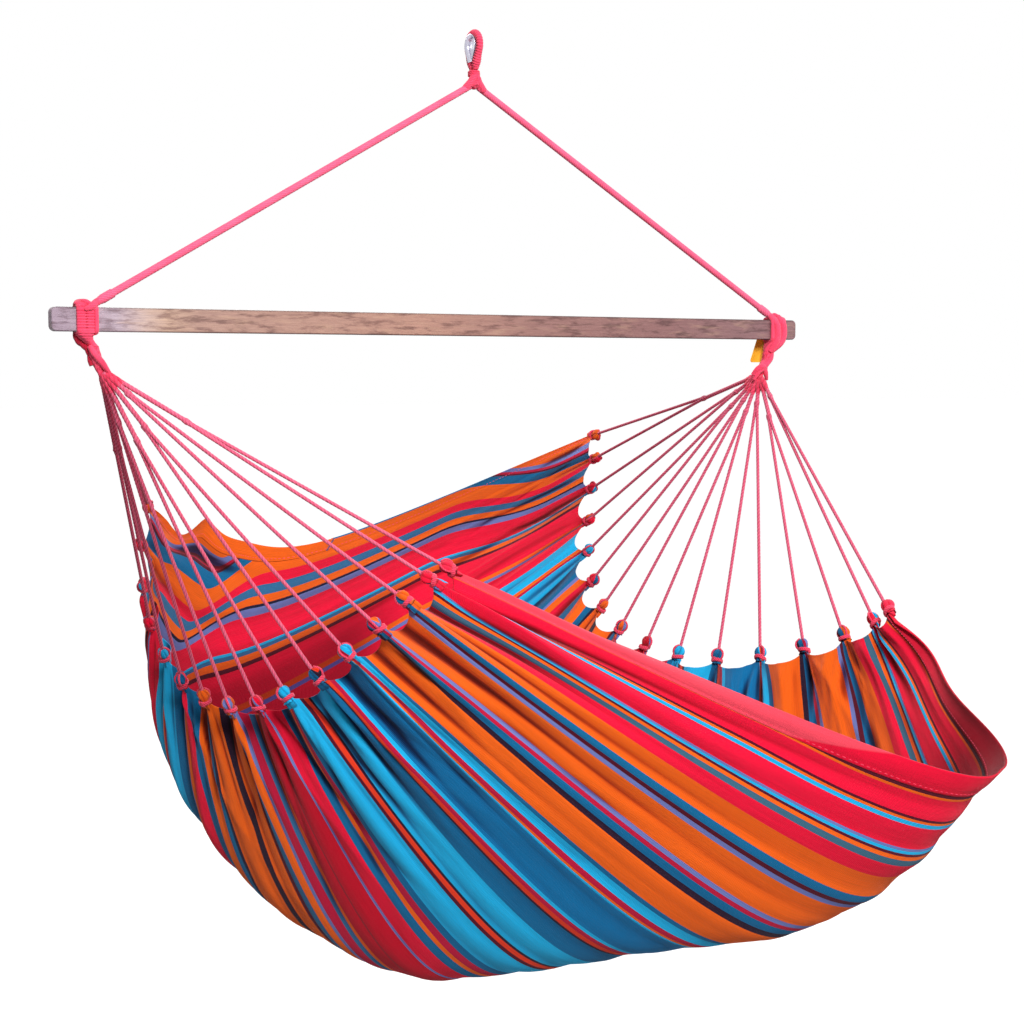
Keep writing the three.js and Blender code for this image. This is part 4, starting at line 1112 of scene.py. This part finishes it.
def stripe_colours(cloth, across):
    """The stripes in order, on as many ramps of hard steps as they need."""
    bands = [band.split() for band in STRIPES.split(",")]
    widths = np.array([float(width) for _, width in bands])
    starts = np.append(np.concatenate([[0], np.cumsum(widths)[:-1]]) / widths.sum(), 1.0)
    colour = None
    for first in range(0, len(bands), RAMP_STOPS):
        end = min(first + RAMP_STOPS, len(bands))
        low, wide = starts[first], starts[end] - starts[first]
        value = cloth.math("MULTIPLY", cloth.math("SUBTRACT", across, low), 1 / wide)
        stops = [((starts[k] - low) / wide, srgb(*DYES[bands[k][0]])) for k in range(first, end)]
        made = cloth.ramp(value, stops, steps=True)
        colour = made if first == 0 else cloth.mix(cloth.math("GREATER_THAN", across, low), colour, made)
    return colour


def striped_finish(name):
    """Woven stripes with slubs, pale specks and worn places, with painted shade in the folds and deep in the
    pouch.
    """
    cloth = Finish(name, 0.9, sheen=0.12, specular=0.1)
    across, _, where, slub, relief = weave(cloth, 14.0)
    speck = cloth.noise(cloth.place((700.0, 900.0, 1.0), where), 1.0, 2.0)
    worn = cloth.noise(cloth.place((9.0, 9.0, 1.0), where), 1.0, 3.0)
    slub_and_shade_tone = cloth.grey(cloth.math("MULTIPLY_ADD", slub, 0.55, 0.72))
    colour = cloth.times(stripe_colours(cloth, across), slub_and_shade_tone)
    light = cloth.math("MULTIPLY", cloth.rise(speck, 0.56, 0.74), 0.07)
    colour = cloth.mix(light, colour, srgb(0.95, 0.80, 0.78))
    colour = cloth.mix(cloth.math("MULTIPLY", worn, 0.10), colour, srgb(0.10, 0.05, 0.10))
    # Painted shade in the folds.
    colour = cloth.times(colour, cloth.ramp(cloth.carried("hollow"), FOLD_SHADE_TONES))
    # Painted shade deep inside the pouch.
    colour = cloth.mix(cloth.carried("deep"), colour, cloth.times(colour, srgb(0.60, 0.45, 0.58)))
    return cloth.coat(colour, relief, THREAD_RELIEF)


def crowded(columns, crowding):
    """Places along the stripes from side to side, closer together near both sides."""
    even = np.linspace(0, 1, columns)
    return even - crowding * np.sin(TAU * even)


striped = striped_finish("striped_cotton")
s_rows = np.linspace(FRONT_SEAM - TUCK, BACK_SEAM + TUCK, CLOTH_ROWS)
points, faces, carried = sheet_mesh(s_rows, crowded(CLOTH_COLUMNS, COLUMN_CROWDING), CLOTH_THICKNESS / 2)
cloth = make_piece("striped_seat", points, faces, striped, "seat", ["seat_cloth"], carried)

# Hems
# The front edge is turned under twice into a broad coral band and stitched down; the back
# edge is a narrow one in the cloth's own orange. The stitches pucker both a little.
HEM_HALF = 0.0019
HEM_ROWS, HEM_COLUMNS, HEM_CROWDING = 15, 330, 0.06
HEM_LAP = 0.0009
HEM_ROUND, HEM_EDGE_SHARE = 0.003, 0.02
HEM_PRESSED, HEM_PRESS_WIDTH = 0.62, 0.009
PUCKER, PUCKER_PITCH, PUCKER_REACH = 0.16, 0.017, 0.012
PUCKER_STRAY, PUCKER_DRIFT = 1.7, 31
STITCH_PITCH = 0.0075
STITCH_HALF_SHARE = 0.36
STITCH_INSET = 0.0035
STITCH_LIFT = HEM_HALF * 0.95
STITCH_BOW = 0.0009
STITCH_RADII = np.array([0.25, 0.85, 1, 0.85, 0.25]) * 0.00055
STITCH_SIDES = 6
REDDENING_START, REDDENING_LENGTH = 0.330, 0.080


def hem_mesh(s_from, s_to, seam):
    """A folded hem: full at its middle, rounded over the fold, pressed down at the seam."""
    s = np.linspace(s_from, s_to, HEM_ROWS)
    u = crowded(HEM_COLUMNS, HEM_CROWDING)
    from_seam = np.abs(s - seam) * CLOTH_WIDTH
    from_fold = (s_to - s_from) * CLOTH_WIDTH - from_seam
    fold = np.sqrt(np.clip(from_fold / HEM_ROUND, HEM_EDGE_SHARE, 1))
    press = HEM_PRESSED + (1 - HEM_PRESSED) * np.clip(from_seam / HEM_PRESS_WIDTH, 0, 1)
    along = u * CLOTH_SPAN
    wave = np.sin(TAU * along / PUCKER_PITCH + PUCKER_STRAY * np.sin(along * PUCKER_DRIFT))
    pucker = 1 + PUCKER * wave[None, :] * np.exp(-from_seam / PUCKER_REACH)[:, None]
    return sheet_mesh(s, u, (HEM_HALF * fold * press)[:, None] * pucker, hem=True)


def stitches(s, lift):
    """A row of stitches on each face: short raised threads that dive into the cloth."""
    rows = Stack()
    count = int(CLOTH_SPAN / STITCH_PITCH)
    share = np.linspace(-1, 1, len(STITCH_RADII))
    angle = TAU * np.arange(STITCH_SIDES) / STITCH_SIDES
    for face in (1, -1):
        for middle in (np.arange(count) + 0.5) / count:
            place, out = cloth_point(s, middle + share * STITCH_HALF_SHARE * STITCH_PITCH / CLOTH_SPAN)
            line = place + face * out * (lift - STITCH_BOW * share**2)[:, None]
            up = out[len(share) // 2]
            side = unit(np.cross(unit(line[-1] - line[0]), up))
            ring = side * np.cos(angle)[:, None] + up * np.sin(angle)[:, None]
            rows.add_rings(line[:, None, :] + ring[None, :, :] * STITCH_RADII[:, None, None], 1.0)
    return rows


def hem_finish(name, colour):
    """The front hem's cotton: coral that turns red towards its right end, with painted shade on the inner
    face, lighter towards that end.
    """
    hem = Finish(name, 0.9, sheen=0.15, specular=0.1)
    across, along, where, slub, relief = weave(hem, 16.0)
    patch = hem.noise(hem.place((30.0, 60.0, 1.0), where), 1.0, 2.0)
    # The outer face turns from coral to red towards the right end, along a slant across the band.
    turn = hem.math("MULTIPLY", along, 0.5 / REDDENING_LENGTH)
    turn = hem.math("ADD", turn, hem.math("MULTIPLY", across, 0.5 / FRONT_SEAM))
    turn = hem.math("SUBTRACT", turn, 0.5 * REDDENING_START / REDDENING_LENGTH)
    base = hem.mix(hem.rise(turn, 0.48, 0.53), colour, srgb(0.98, 0.03, 0.22))
    # Painted shade on the inner face: deep crimson, and a lighter crimson towards the right end where it is
    # lit.
    inner = hem.mix(hem.rise(along, 0.73, 0.86), srgb(0.56, 0.01, 0.11), srgb(0.86, 0.04, 0.20))
    base = hem.mix(hem.carried("inside"), base, inner)
    body = hem.mix(patch, base, hem.times(base, (0.82, 0.82, 0.82, 1)))
    body = hem.times(body, hem.grey(hem.math("MULTIPLY_ADD", slub, 0.4, 0.80)))
    return hem.coat(body, relief, THREAD_RELIEF)


coral_hem = hem_finish("coral_hem", srgb(1.0, 0.30, 0.38))
for edge, s_from, s_to, seam, inwards, material, slot in (
    ("front_hem", 0.0, FRONT_SEAM + HEM_LAP, FRONT_SEAM, -1, coral_hem, "hem_cloth"),
    ("back_hem", BACK_SEAM - HEM_LAP, 1.0, BACK_SEAM, 1, striped, "striped_cloth"),
):
    points, faces, carried = hem_mesh(s_from, s_to, seam)
    make_piece(edge + "_band", points, faces, material, "seat", [edge], carried)
    row = stitches(seam + inwards * STITCH_INSET / CLOTH_WIDTH, STITCH_LIFT)
    row.make(edge + "_stitches", rope_cotton, "seat", slot)

# Fan cords
# Thin twisted cotton cords leave each neck in pairs, laid together as far as a splice and
# apart from there. Each pulls one corner of the gathered cloth.
EDGE_U = {"left": 0.0, "right": 1.0}
NECK_END_RADIUS = 0.0125
CORD_RADIUS = 0.0030
BUNDLE_RADIUS = 0.0039
CORD_STRANDS, CORD_TURN = 3, 1.3
CORD_PITCH = 0.020
CORD_GROOVE, CORD_GROOVE_LIT_SHARE = 0.11, 0.35
CORD_STEP = 0.0016
CORD_START_SHARE = 0.6
CORD_FIBRE = 1.4
KNOT_LENGTH = 0.025
KNOT_BITE = 0.004
SPLICE_LUMP, SPLICE_SPREAD, SPLICE_LENGTH = 0.0013, 0.006, 0.004
FAR_SHADE, RIGHT_SHADE = 0.55, 0.2
PAIRS = KNOTS_A_SIDE // 2
SPLITS = {
    "left": (0.26, 0.1, 0.19, 0.21, 0.15, 0.24, 0.3, 0.2),
    "right": (0.1, 0.16, 0.1, 0.13, 0.1, 0.15, 0.12, 0.3),
}

KNOT, HEADING, SPLICE = {}, {}, {}
for name, fan in FAN.items():
    for k in range(KNOTS_A_SIDE):
        KNOT[name, k] = cloth_point(KNOT_SHARES[k], EDGE_U[name], peaks=False)[0]
    for pair in range(PAIRS):
        first, second = KNOT[name, 2 * pair], KNOT[name, 2 * pair + 1]
        heading = unit(unit(first - fan) + unit(second - fan))
        HEADING[name, pair] = heading
        SPLICE[name, pair] = fan + heading * SPLITS[name][pair] * CORD_LENGTH


def cord_route(name, k):
    """A cord's line and where its splice lies along it: even ones carry the pair down to it."""
    heading, splice, end = HEADING[name, k // 2], SPLICE[name, k // 2], KNOT[name, k]
    stop = end - unit(end - splice) * (KNOT_LENGTH - KNOT_BITE)
    if k % 2 == 0:
        start = FAN[name] + heading * NECK_END_RADIUS * CORD_START_SHARE
        return [start, splice, stop], np.linalg.norm(splice - start)
    beside = unit(KNOT[name, k - 1] - splice)
    apart = unit(end - splice - beside * ((end - splice) @ beside))
    start = splice + apart * (BUNDLE_RADIUS * 0.5) - heading * SPLICE_SPREAD
    return [start, stop], SPLICE_LENGTH


# The cords' lit pink, the dye's deeper patches, and the crimson painted as shade in the grooves.
cord_lit_deep_shaded = srgb(0.96, 0.48, 0.60), srgb(0.90, 0.36, 0.49), srgb(0.64, 0.09, 0.22)
pale_cord = twisted_finish("pale_pink_cord", *cord_lit_deep_shaded, CORD_FIBRE)
for name in FAN:
    for k in range(KNOTS_A_SIDE):
        route, lump = cord_route(name, k)
        line, marks = along_line(route, CORD_STEP)
        radii = CORD_RADIUS + SPLICE_LUMP * hump(marks - lump, SPLICE_SPREAD)
        if k % 2 == 0:
            doubled = np.clip((lump - marks) / SPLICE_LENGTH + 0.5, 0, 1)
            radii = radii + (BUNDLE_RADIUS - CORD_RADIUS) * doubled
        cord = Stack()
        rings, crown = rope_rings(line, marks, radii, CORD_STRANDS, CORD_PITCH, CORD_GROOVE, 4, k * CORD_TURN)
        # Painted shade: darker in the grooves, and darker still for the left cords further back and for all
        # right ones.
        darker = FAR_SHADE * k / INTERVALS if name == "left" else RIGHT_SHADE
        cord.add_rings(rings, CORD_GROOVE_LIT_SHARE + (1 - CORD_GROOVE_LIT_SHARE) * crown - darker)
        number = name + "_" + str(k + 1).zfill(2)
        cord.make("fan_cord_" + number, pale_cord, "seat", "cord", ["cord_" + number])

# Necks
# The pairs of cords run up from the fan side by side, at the right crossing over on the way,
# into the loop's end. A flat strap of the same cord is led over them to hold them.
NECK_STRAND = 0.0040
NECK_RING = 0.0058
NECK_REACH = 0.040
NECK_WAIST_SHARE = 0.45
NECK_SWELL = {"left": 1.2, "right": 1.6}
NECK_TURN, NECK_GROOVE = 0.5, 0.10
BEHIND_FROM, BEHIND_SHADE_TONE = 0.3, 0.55


def left_wraps(neck, pivot, fan):
    """A strap down over the front of the left neck, and the short end of a cord behind it."""
    strap = [
        pivot + [-0.0075, -0.0050, 0.0090],
        pivot + [-0.0020, -0.0088, -0.0030],
        fan + [0.0005, -0.0098, 0.0100],
        fan + [0.0080, -0.0080, -0.0010],
        fan + [0.0150, -0.0050, -0.0080],
    ]
    strand(neck, strap, [0.0040, 0.0052, 0.0054, 0.0044, 0.0026], strands=2, pitch=0.08, groove=0.05)
    stub = [
        pivot + [-0.0040, 0.0040, 0.0020],
        pivot + [-0.0060, 0.0030, -0.0090],
        fan + [-0.0120, 0.0010, 0.0050],
    ]
    # Painted shade: the cord end behind the neck is drawn all in the shade colour.
    strand(neck, stub, [0.0030, 0.0036, 0.0040], slub_and_shade_tone=0.0)


def right_wraps(neck, pivot, fan):
    """A strap down the right neck, two cords spread over it as wings, and a tie across them."""
    strap = [
        pivot + [0.0070, -0.0050, 0.0080],
        pivot + [0.0020, -0.0088, -0.0050],
        fan + [0.0030, -0.0100, 0.0130],
        fan + [-0.0080, -0.0086, 0.0050],
        fan + [-0.0150, -0.0040, -0.0020],
    ]
    strand(neck, strap, [0.0040, 0.0054, 0.0054, 0.0050, 0.0030], strands=2, pitch=0.08, groove=0.05)
    # Painted shade: the second wing is drawn a little darker than the first.
    for side, slub_and_shade_tone in ((-1, 1.0), (1, 0.85)):
        wing = [
            pivot + [-side * 0.0030, -0.0050, -0.0040],
            fan + [side * 0.0020, -0.0085, 0.0160],
            fan + [side * 0.0090, -0.0075, 0.0030],
            fan + [side * 0.0150, -0.0030, -0.0100],
        ]
        strand(neck, wing, [0.0034, 0.0048, 0.0050, 0.0030], strands=8, pitch=0.06, groove=0.06, slub_and_shade_tone=slub_and_shade_tone)
    tie = [
        fan + [-0.0175, -0.0020, -0.0010],
        fan + [-0.0110, -0.0095, 0.0110],
        fan + [-0.0010, -0.0120, 0.0160],
        fan + [0.0090, -0.0075, 0.0110],
        fan + [0.0125, 0.0010, 0.0040],
    ]
    strand(neck, tie, [0.0034, 0.0048, 0.0052, 0.0048, 0.0034], strands=8, pitch=0.05, groove=0.06)


for name, fan in FAN.items():
    neck, pivot = Stack(), PIVOT[name]
    waist = pivot * (1 - NECK_WAIST_SHARE) + fan * NECK_WAIST_SHARE
    swell = BUNDLE_RADIUS * NECK_SWELL[name]
    radii = [NECK_STRAND * 0.85, NECK_STRAND, NECK_STRAND, NECK_STRAND * 1.1, swell, BUNDLE_RADIUS * 0.95]
    for pair in range(PAIRS):
        heading = HEADING[name, pair]
        angle = TAU * pair / PAIRS + NECK_TURN
        ring = np.array([math.cos(angle), math.sin(angle), 0.0])
        crossed = ring * [-1, 1, 1] if name == "right" else ring
        line = [
            pivot + crossed * NECK_RING * 0.75 + [0, 0, SKIRT_FOOT],
            pivot + crossed * NECK_RING + [0, 0, 0.001],
            waist + ring * NECK_RING * 0.9,
            fan + ring * NECK_RING * 0.55 + heading * 0.002,
            fan + heading * NECK_END_RADIUS,
            fan + heading * NECK_REACH,
        ]
        # Painted shade: strands on the back of the neck are drawn darker.
        strand(neck, line, radii, groove=NECK_GROOVE, slub_and_shade_tone=1.0 if ring[1] < BEHIND_FROM else BEHIND_SHADE_TONE)
    if name == "left":
        left_wraps(neck, pivot, fan)
    else:
        right_wraps(neck, pivot, fan)
    neck.make("gathered_neck_" + name, rope_cotton, "seat", "rope", ["neck_binding_" + name])

# Tufts
# At every cord a pinch of the cloth's edge is pulled through a loop of the cord, which is
# drawn tight round it, so a small bulb of gathered cloth stands proud of the binding.
TUFT_WAIST = 0.0069
TUFT_FAR = (-0.0036, -0.0020, 0.0008, 0.0044, 0.0082, 0.0112, 0.0136, 0.0156, 0.0180, 0.0205, 0.0235)
TUFT_RADII = (0.0030, 0.0068, 0.0097, 0.0111, 0.0112, 0.0101, 0.0082, TUFT_WAIST, TUFT_WAIST, 0.0080, 0.0096)
FLARE_ROWS = [
    (0.001, 0.0086, 0.0062),
    (0.006, 0.0096, 0.0050),
    (0.012, 0.0098, 0.0030),
    (0.018, 0.0086, 0.0012),
]
TUFT_FOLDS = 5
BULB_RADIUS, BULB_FROM, BULB_LEAST = 0.006, 0.6, 0.15
BULB_FLATTER, BULB_ROUND_SHARE = 0.20, 0.3
TUFT_SIDES = 60
TUFT_TWIST = 26.0
TUFT_STRIPE, STRIPE_TURN, STRIPE_DRIFT, STRIPE_MIDDLE = 0.0115, 0.5, 0.2, 0.01
CLOTH_ENDS, TUFT_ALONG = (0.001, 0.999), 0.01
TUFT_CREASE, TUFT_LUMP, TUFT_SHADE = 0.20, 0.07, 0.55
CREASE_TURN, LUMP_TURN, BULB_TURN = 1.3, 2.1, 0.4
TUFT_ASKEW, ASKEW_TURN = 0.0016, 2.4
TUFT_TILT, TILT_TURN = 0.0012, 3.1
EDGE_PROBE = 0.004
WRAP_CORD = 0.0024
WRAP_TURNS = 2.1
WRAP_PLACE, WRAP_RISE, WRAP_TILT = 0.0148, 0.0048, 0.0022
WRAP_STEPS, WRAP_TURN, WRAP_TILT_TURN = 80, 0.9, 1.1
WRAP_GIRTH = TUFT_WAIST + WRAP_CORD * 0.7
WRAP_PITCH, WRAP_GROOVE, WRAP_STEP = 0.010, 0.16, 0.0011
OVER_FROM, OVER_TO, OVER_LIFT, OVER_STEPS = -0.0045, 0.0165, 0.0004, 15
OVER_TURN, OVER_APART, OVER_FLAT_SHARES = 1.9, 2.3, (0.95, 0.85)
OVER_CORD = WRAP_CORD * 0.85


def along_edge(share, u):
    """The way from front to back along the cloth's gathered edge."""
    ahead, behind = min(share + EDGE_PROBE, 1.0), max(share - EDGE_PROBE, 0.0)
    return cloth_point(ahead, u)[0] - cloth_point(behind, u)[0]


def tuft_axes(name, k):
    """The way that the cord pulls, towards the cloth, and two ways across it."""
    away = unit(KNOT[name, k] - SPLICE[name, k // 2])
    beside = along_edge(KNOT_SHARES[k], EDGE_U[name])
    across = unit(beside - away * (beside @ away))
    normal = np.cross(away, across)
    if normal @ cloth_point(KNOT_SHARES[k], EDGE_U[name])[1] < 0:
        normal = -normal
    return away, across, normal


def add_tuft(tufts, name, k, base, askew, axes):
    """The pinched cloth: a creased bulb past the binding, and the flare into the sheet."""
    away, across, normal = axes
    share = KNOT_SHARES[k]
    angle = TAU * np.arange(TUFT_SIDES) / TUFT_SIDES
    crease = np.abs(np.cos(TUFT_FOLDS * angle / 2 + CREASE_TURN * k))
    fold = 1 - TUFT_CREASE * (1 - crease) ** 1.5 + TUFT_LUMP * np.cos(3 * angle + LUMP_TURN * k)
    rings, shares = [], []
    for far, radius in zip(TUFT_FAR, TUFT_RADII):
        turn = angle + TUFT_TWIST * far + BULB_TURN * k
        bulb = np.clip(radius / BULB_RADIUS - BULB_FROM, BULB_LEAST, 1)
        spread = (radius * (1 + (fold - 1) * bulb))[:, None]
        flat = 1 - BULB_FLATTER * bulb * (1 if k % 2 else BULB_ROUND_SHARE)
        round_it = across * np.cos(turn)[:, None] + normal * flat * np.sin(turn)[:, None]
        rings.append(base + away * far + askew * bulb + round_it * spread)
        shares.append(share + TUFT_STRIPE * np.cos(turn + STRIPE_TURN) + STRIPE_DRIFT * (far - STRIPE_MIDDLE))
    for far, wide, thick in FLARE_ROWS:
        u = abs(EDGE_U[name] - far / CLOTH_SPAN)
        place, way = cloth_point(share, u)
        sideways = unit(along_edge(share, u))
        ring = place + sideways * (wide * np.cos(angle) * fold)[:, None]
        rings.append(ring + way * (thick * np.sin(angle) * fold)[:, None])
        kept = 1 - PINCH_SHARE * math.exp(-far / PINCH_REACH)
        shares.append(share + np.cos(angle) * wide / CLOTH_WIDTH / kept)
    points, faces = skin_rings(np.array(rings))
    # Painted shade in the tuft's creases, carried to the cloth's fold shade.
    hollow = np.tile((1 - crease) * TUFT_SHADE, len(rings))
    tufts.add(points, faces, across=np.clip(shares, *CLOTH_ENDS), along=TUFT_ALONG, hollow=hollow)


def add_binding(wraps, k, base, askew, axes):
    """The cord drawn round the tuft: turns at its waist, and two loops over the bulb."""
    away, across, normal = axes
    t = np.linspace(0, 1, WRAP_STEPS)
    turn = TAU * WRAP_TURNS * t + WRAP_TURN * k
    far = WRAP_PLACE + WRAP_RISE * t + WRAP_TILT * np.cos(turn + WRAP_TILT_TURN * k)
    round_it = across * np.cos(turn)[:, None] + normal * np.sin(turn)[:, None]
    routes = [(base + away * far[:, None] + round_it * WRAP_GIRTH, WRAP_CORD)]
    far = np.linspace(OVER_FROM, OVER_TO, OVER_STEPS)
    lift = np.interp(far, TUFT_FAR, TUFT_RADII) + OVER_LIFT
    for side in (0, 1):
        way = OVER_TURN * k + OVER_APART * side
        round_it = across * math.cos(way) + normal * math.sin(way) * OVER_FLAT_SHARES[k % 2]
        route = base + away * far[:, None] + round_it * lift[:, None] + askew
        routes.append((route, OVER_CORD))
    for route, radius in routes:
        line, marks = along_line(route, WRAP_STEP)
        wraps.add_rings(*rope_rings(line, marks, radius, 3, WRAP_PITCH, WRAP_GROOVE, 4))


cord_cotton = twisted_finish("pink_cord", LIT_PINK, DEEP_PINK, SHADED_CRIMSON, CORD_FIBRE)
for name in FAN:
    tufts, wraps = Stack(), Stack()
    for k in range(KNOTS_A_SIDE):
        axes = tuft_axes(name, k)
        base = KNOT[name, k] - axes[0] * KNOT_LENGTH
        askew = axes[1] * TUFT_ASKEW * math.sin(ASKEW_TURN * k)
        askew = askew + axes[2] * TUFT_TILT * math.cos(TILT_TURN * k)
        add_tuft(tufts, name, k, base, askew, axes)
        add_binding(wraps, k, base, askew, axes)
    tufts.make("cloth_tufts_" + name, striped, "seat", "striped_cloth")
    wraps.make("tuft_bindings_" + name, cord_cotton, "seat", "cord")

# Floor, lights and camera
# A plain pale floor under the seat, a white surround and three soft lamps: one high in
# front, one low from the right and one behind, with the photograph's camera.
FLOOR_Z = -1.93
FLOOR_HALF = 60.0
FLOOR_BASE = 0.30
FLOOR_SEEN = 0.93
SURROUND_LIGHT = 0.31
LAMPS = [
    ("key_lamp", (-0.9, -3.4, 1.7), 196, 1.3),
    ("fill_lamp", (2.8, -2.2, 0.4), 46, 2.5),
    ("back_lamp", (0.5, 2.8, 1.4), 85, 2.0),
]
LAMPS_AIM = (0.0, 0.0, -1.0)
CAMERA_PLACE = (-1.37286, -2.50405, -0.54821)
CAMERA_RIGHT = (0.8660, -0.5, 0.0)
CAMERA_UP = (0.04103, 0.07106, 0.99663)
CAMERA_AHEAD = (0.49831, 0.86311, -0.08205)
CAMERA_LENS = 59.57
CAMERA_SENSOR = 36.0
CAMERA_NEAR, CAMERA_FAR = 0.05, 200.0


def seen_directly(tree):
    """One where the camera, a reflection or a clear surface looks, and nought for light."""
    ray = tree.nodes.new("ShaderNodeLightPath")
    total = ray.outputs["Is Camera Ray"]
    for other in ("Is Glossy Ray", "Is Transmission Ray"):
        added = tree.nodes.new("ShaderNodeMath")
        added.operation, added.use_clamp = "ADD", True
        tree.links.new(total, added.inputs[0])
        tree.links.new(ray.outputs[other], added.inputs[1])
        total = added.outputs[0]
    return total


corners = [(x * FLOOR_HALF, y * FLOOR_HALF, FLOOR_Z) for x, y in ((-1, -1), (1, -1), (1, 1), (-1, 1))]
floor_mesh = bpy.data.meshes.new("floor")
floor_mesh.from_pydata(corners, [], [(0, 1, 2, 3)])
floor = bpy.data.objects.new("floor", floor_mesh)
bpy.context.scene.collection.objects.link(floor)
ground = Finish("pale_floor", 0.9, specular=0.0)
ground.shader.inputs["Base Color"].default_value = (FLOOR_BASE, FLOOR_BASE, FLOOR_BASE, 1)
ground.shader.inputs["Emission Color"].default_value = WHITE
glow = ground.math("MULTIPLY", seen_directly(ground.tree), FLOOR_SEEN)
ground.tree.links.new(glow, ground.shader.inputs["Emission Strength"])
floor_mesh.materials.append(ground.material)

surround = bpy.data.worlds.new("studio")
surround.use_nodes = True
bpy.context.scene.world = surround
white = surround.node_tree.nodes["Background"]
white.inputs["Color"].default_value = WHITE
level = surround.node_tree.nodes.new("ShaderNodeMapRange")
level.inputs["To Min"].default_value = SURROUND_LIGHT
level.inputs["To Max"].default_value = 1.0
surround.node_tree.links.new(seen_directly(surround.node_tree), level.inputs["Value"])
surround.node_tree.links.new(level.outputs[0], white.inputs["Strength"])

for name, place, power, size in LAMPS:
    lamp = bpy.data.lights.new(name, "AREA")
    lamp.shape, lamp.size, lamp.energy = "DISK", size, power
    stand = bpy.data.objects.new(name, lamp)
    bpy.context.scene.collection.objects.link(stand)
    stand.location = place
    stand.rotation_euler = (Vector(LAMPS_AIM) - Vector(place)).to_track_quat("-Z", "Y").to_euler()

camera = bpy.data.objects.new("photo_view", bpy.data.cameras.new("photo_view"))
bpy.context.scene.collection.objects.link(camera)
camera.data.lens = CAMERA_LENS
camera.data.sensor_width = CAMERA_SENSOR
camera.data.clip_start = CAMERA_NEAR
camera.data.clip_end = CAMERA_FAR
turned = np.eye(4)
for column, way in enumerate((CAMERA_RIGHT, CAMERA_UP, np.negative(CAMERA_AHEAD))):
    turned[:3, column] = unit(np.array(way))
turned[:3, 3] = CAMERA_PLACE
camera.matrix_world = Matrix(turned.tolist())
bpy.context.scene.camera = camera
bpy.context.scene.view_settings.view_transform = "Standard"
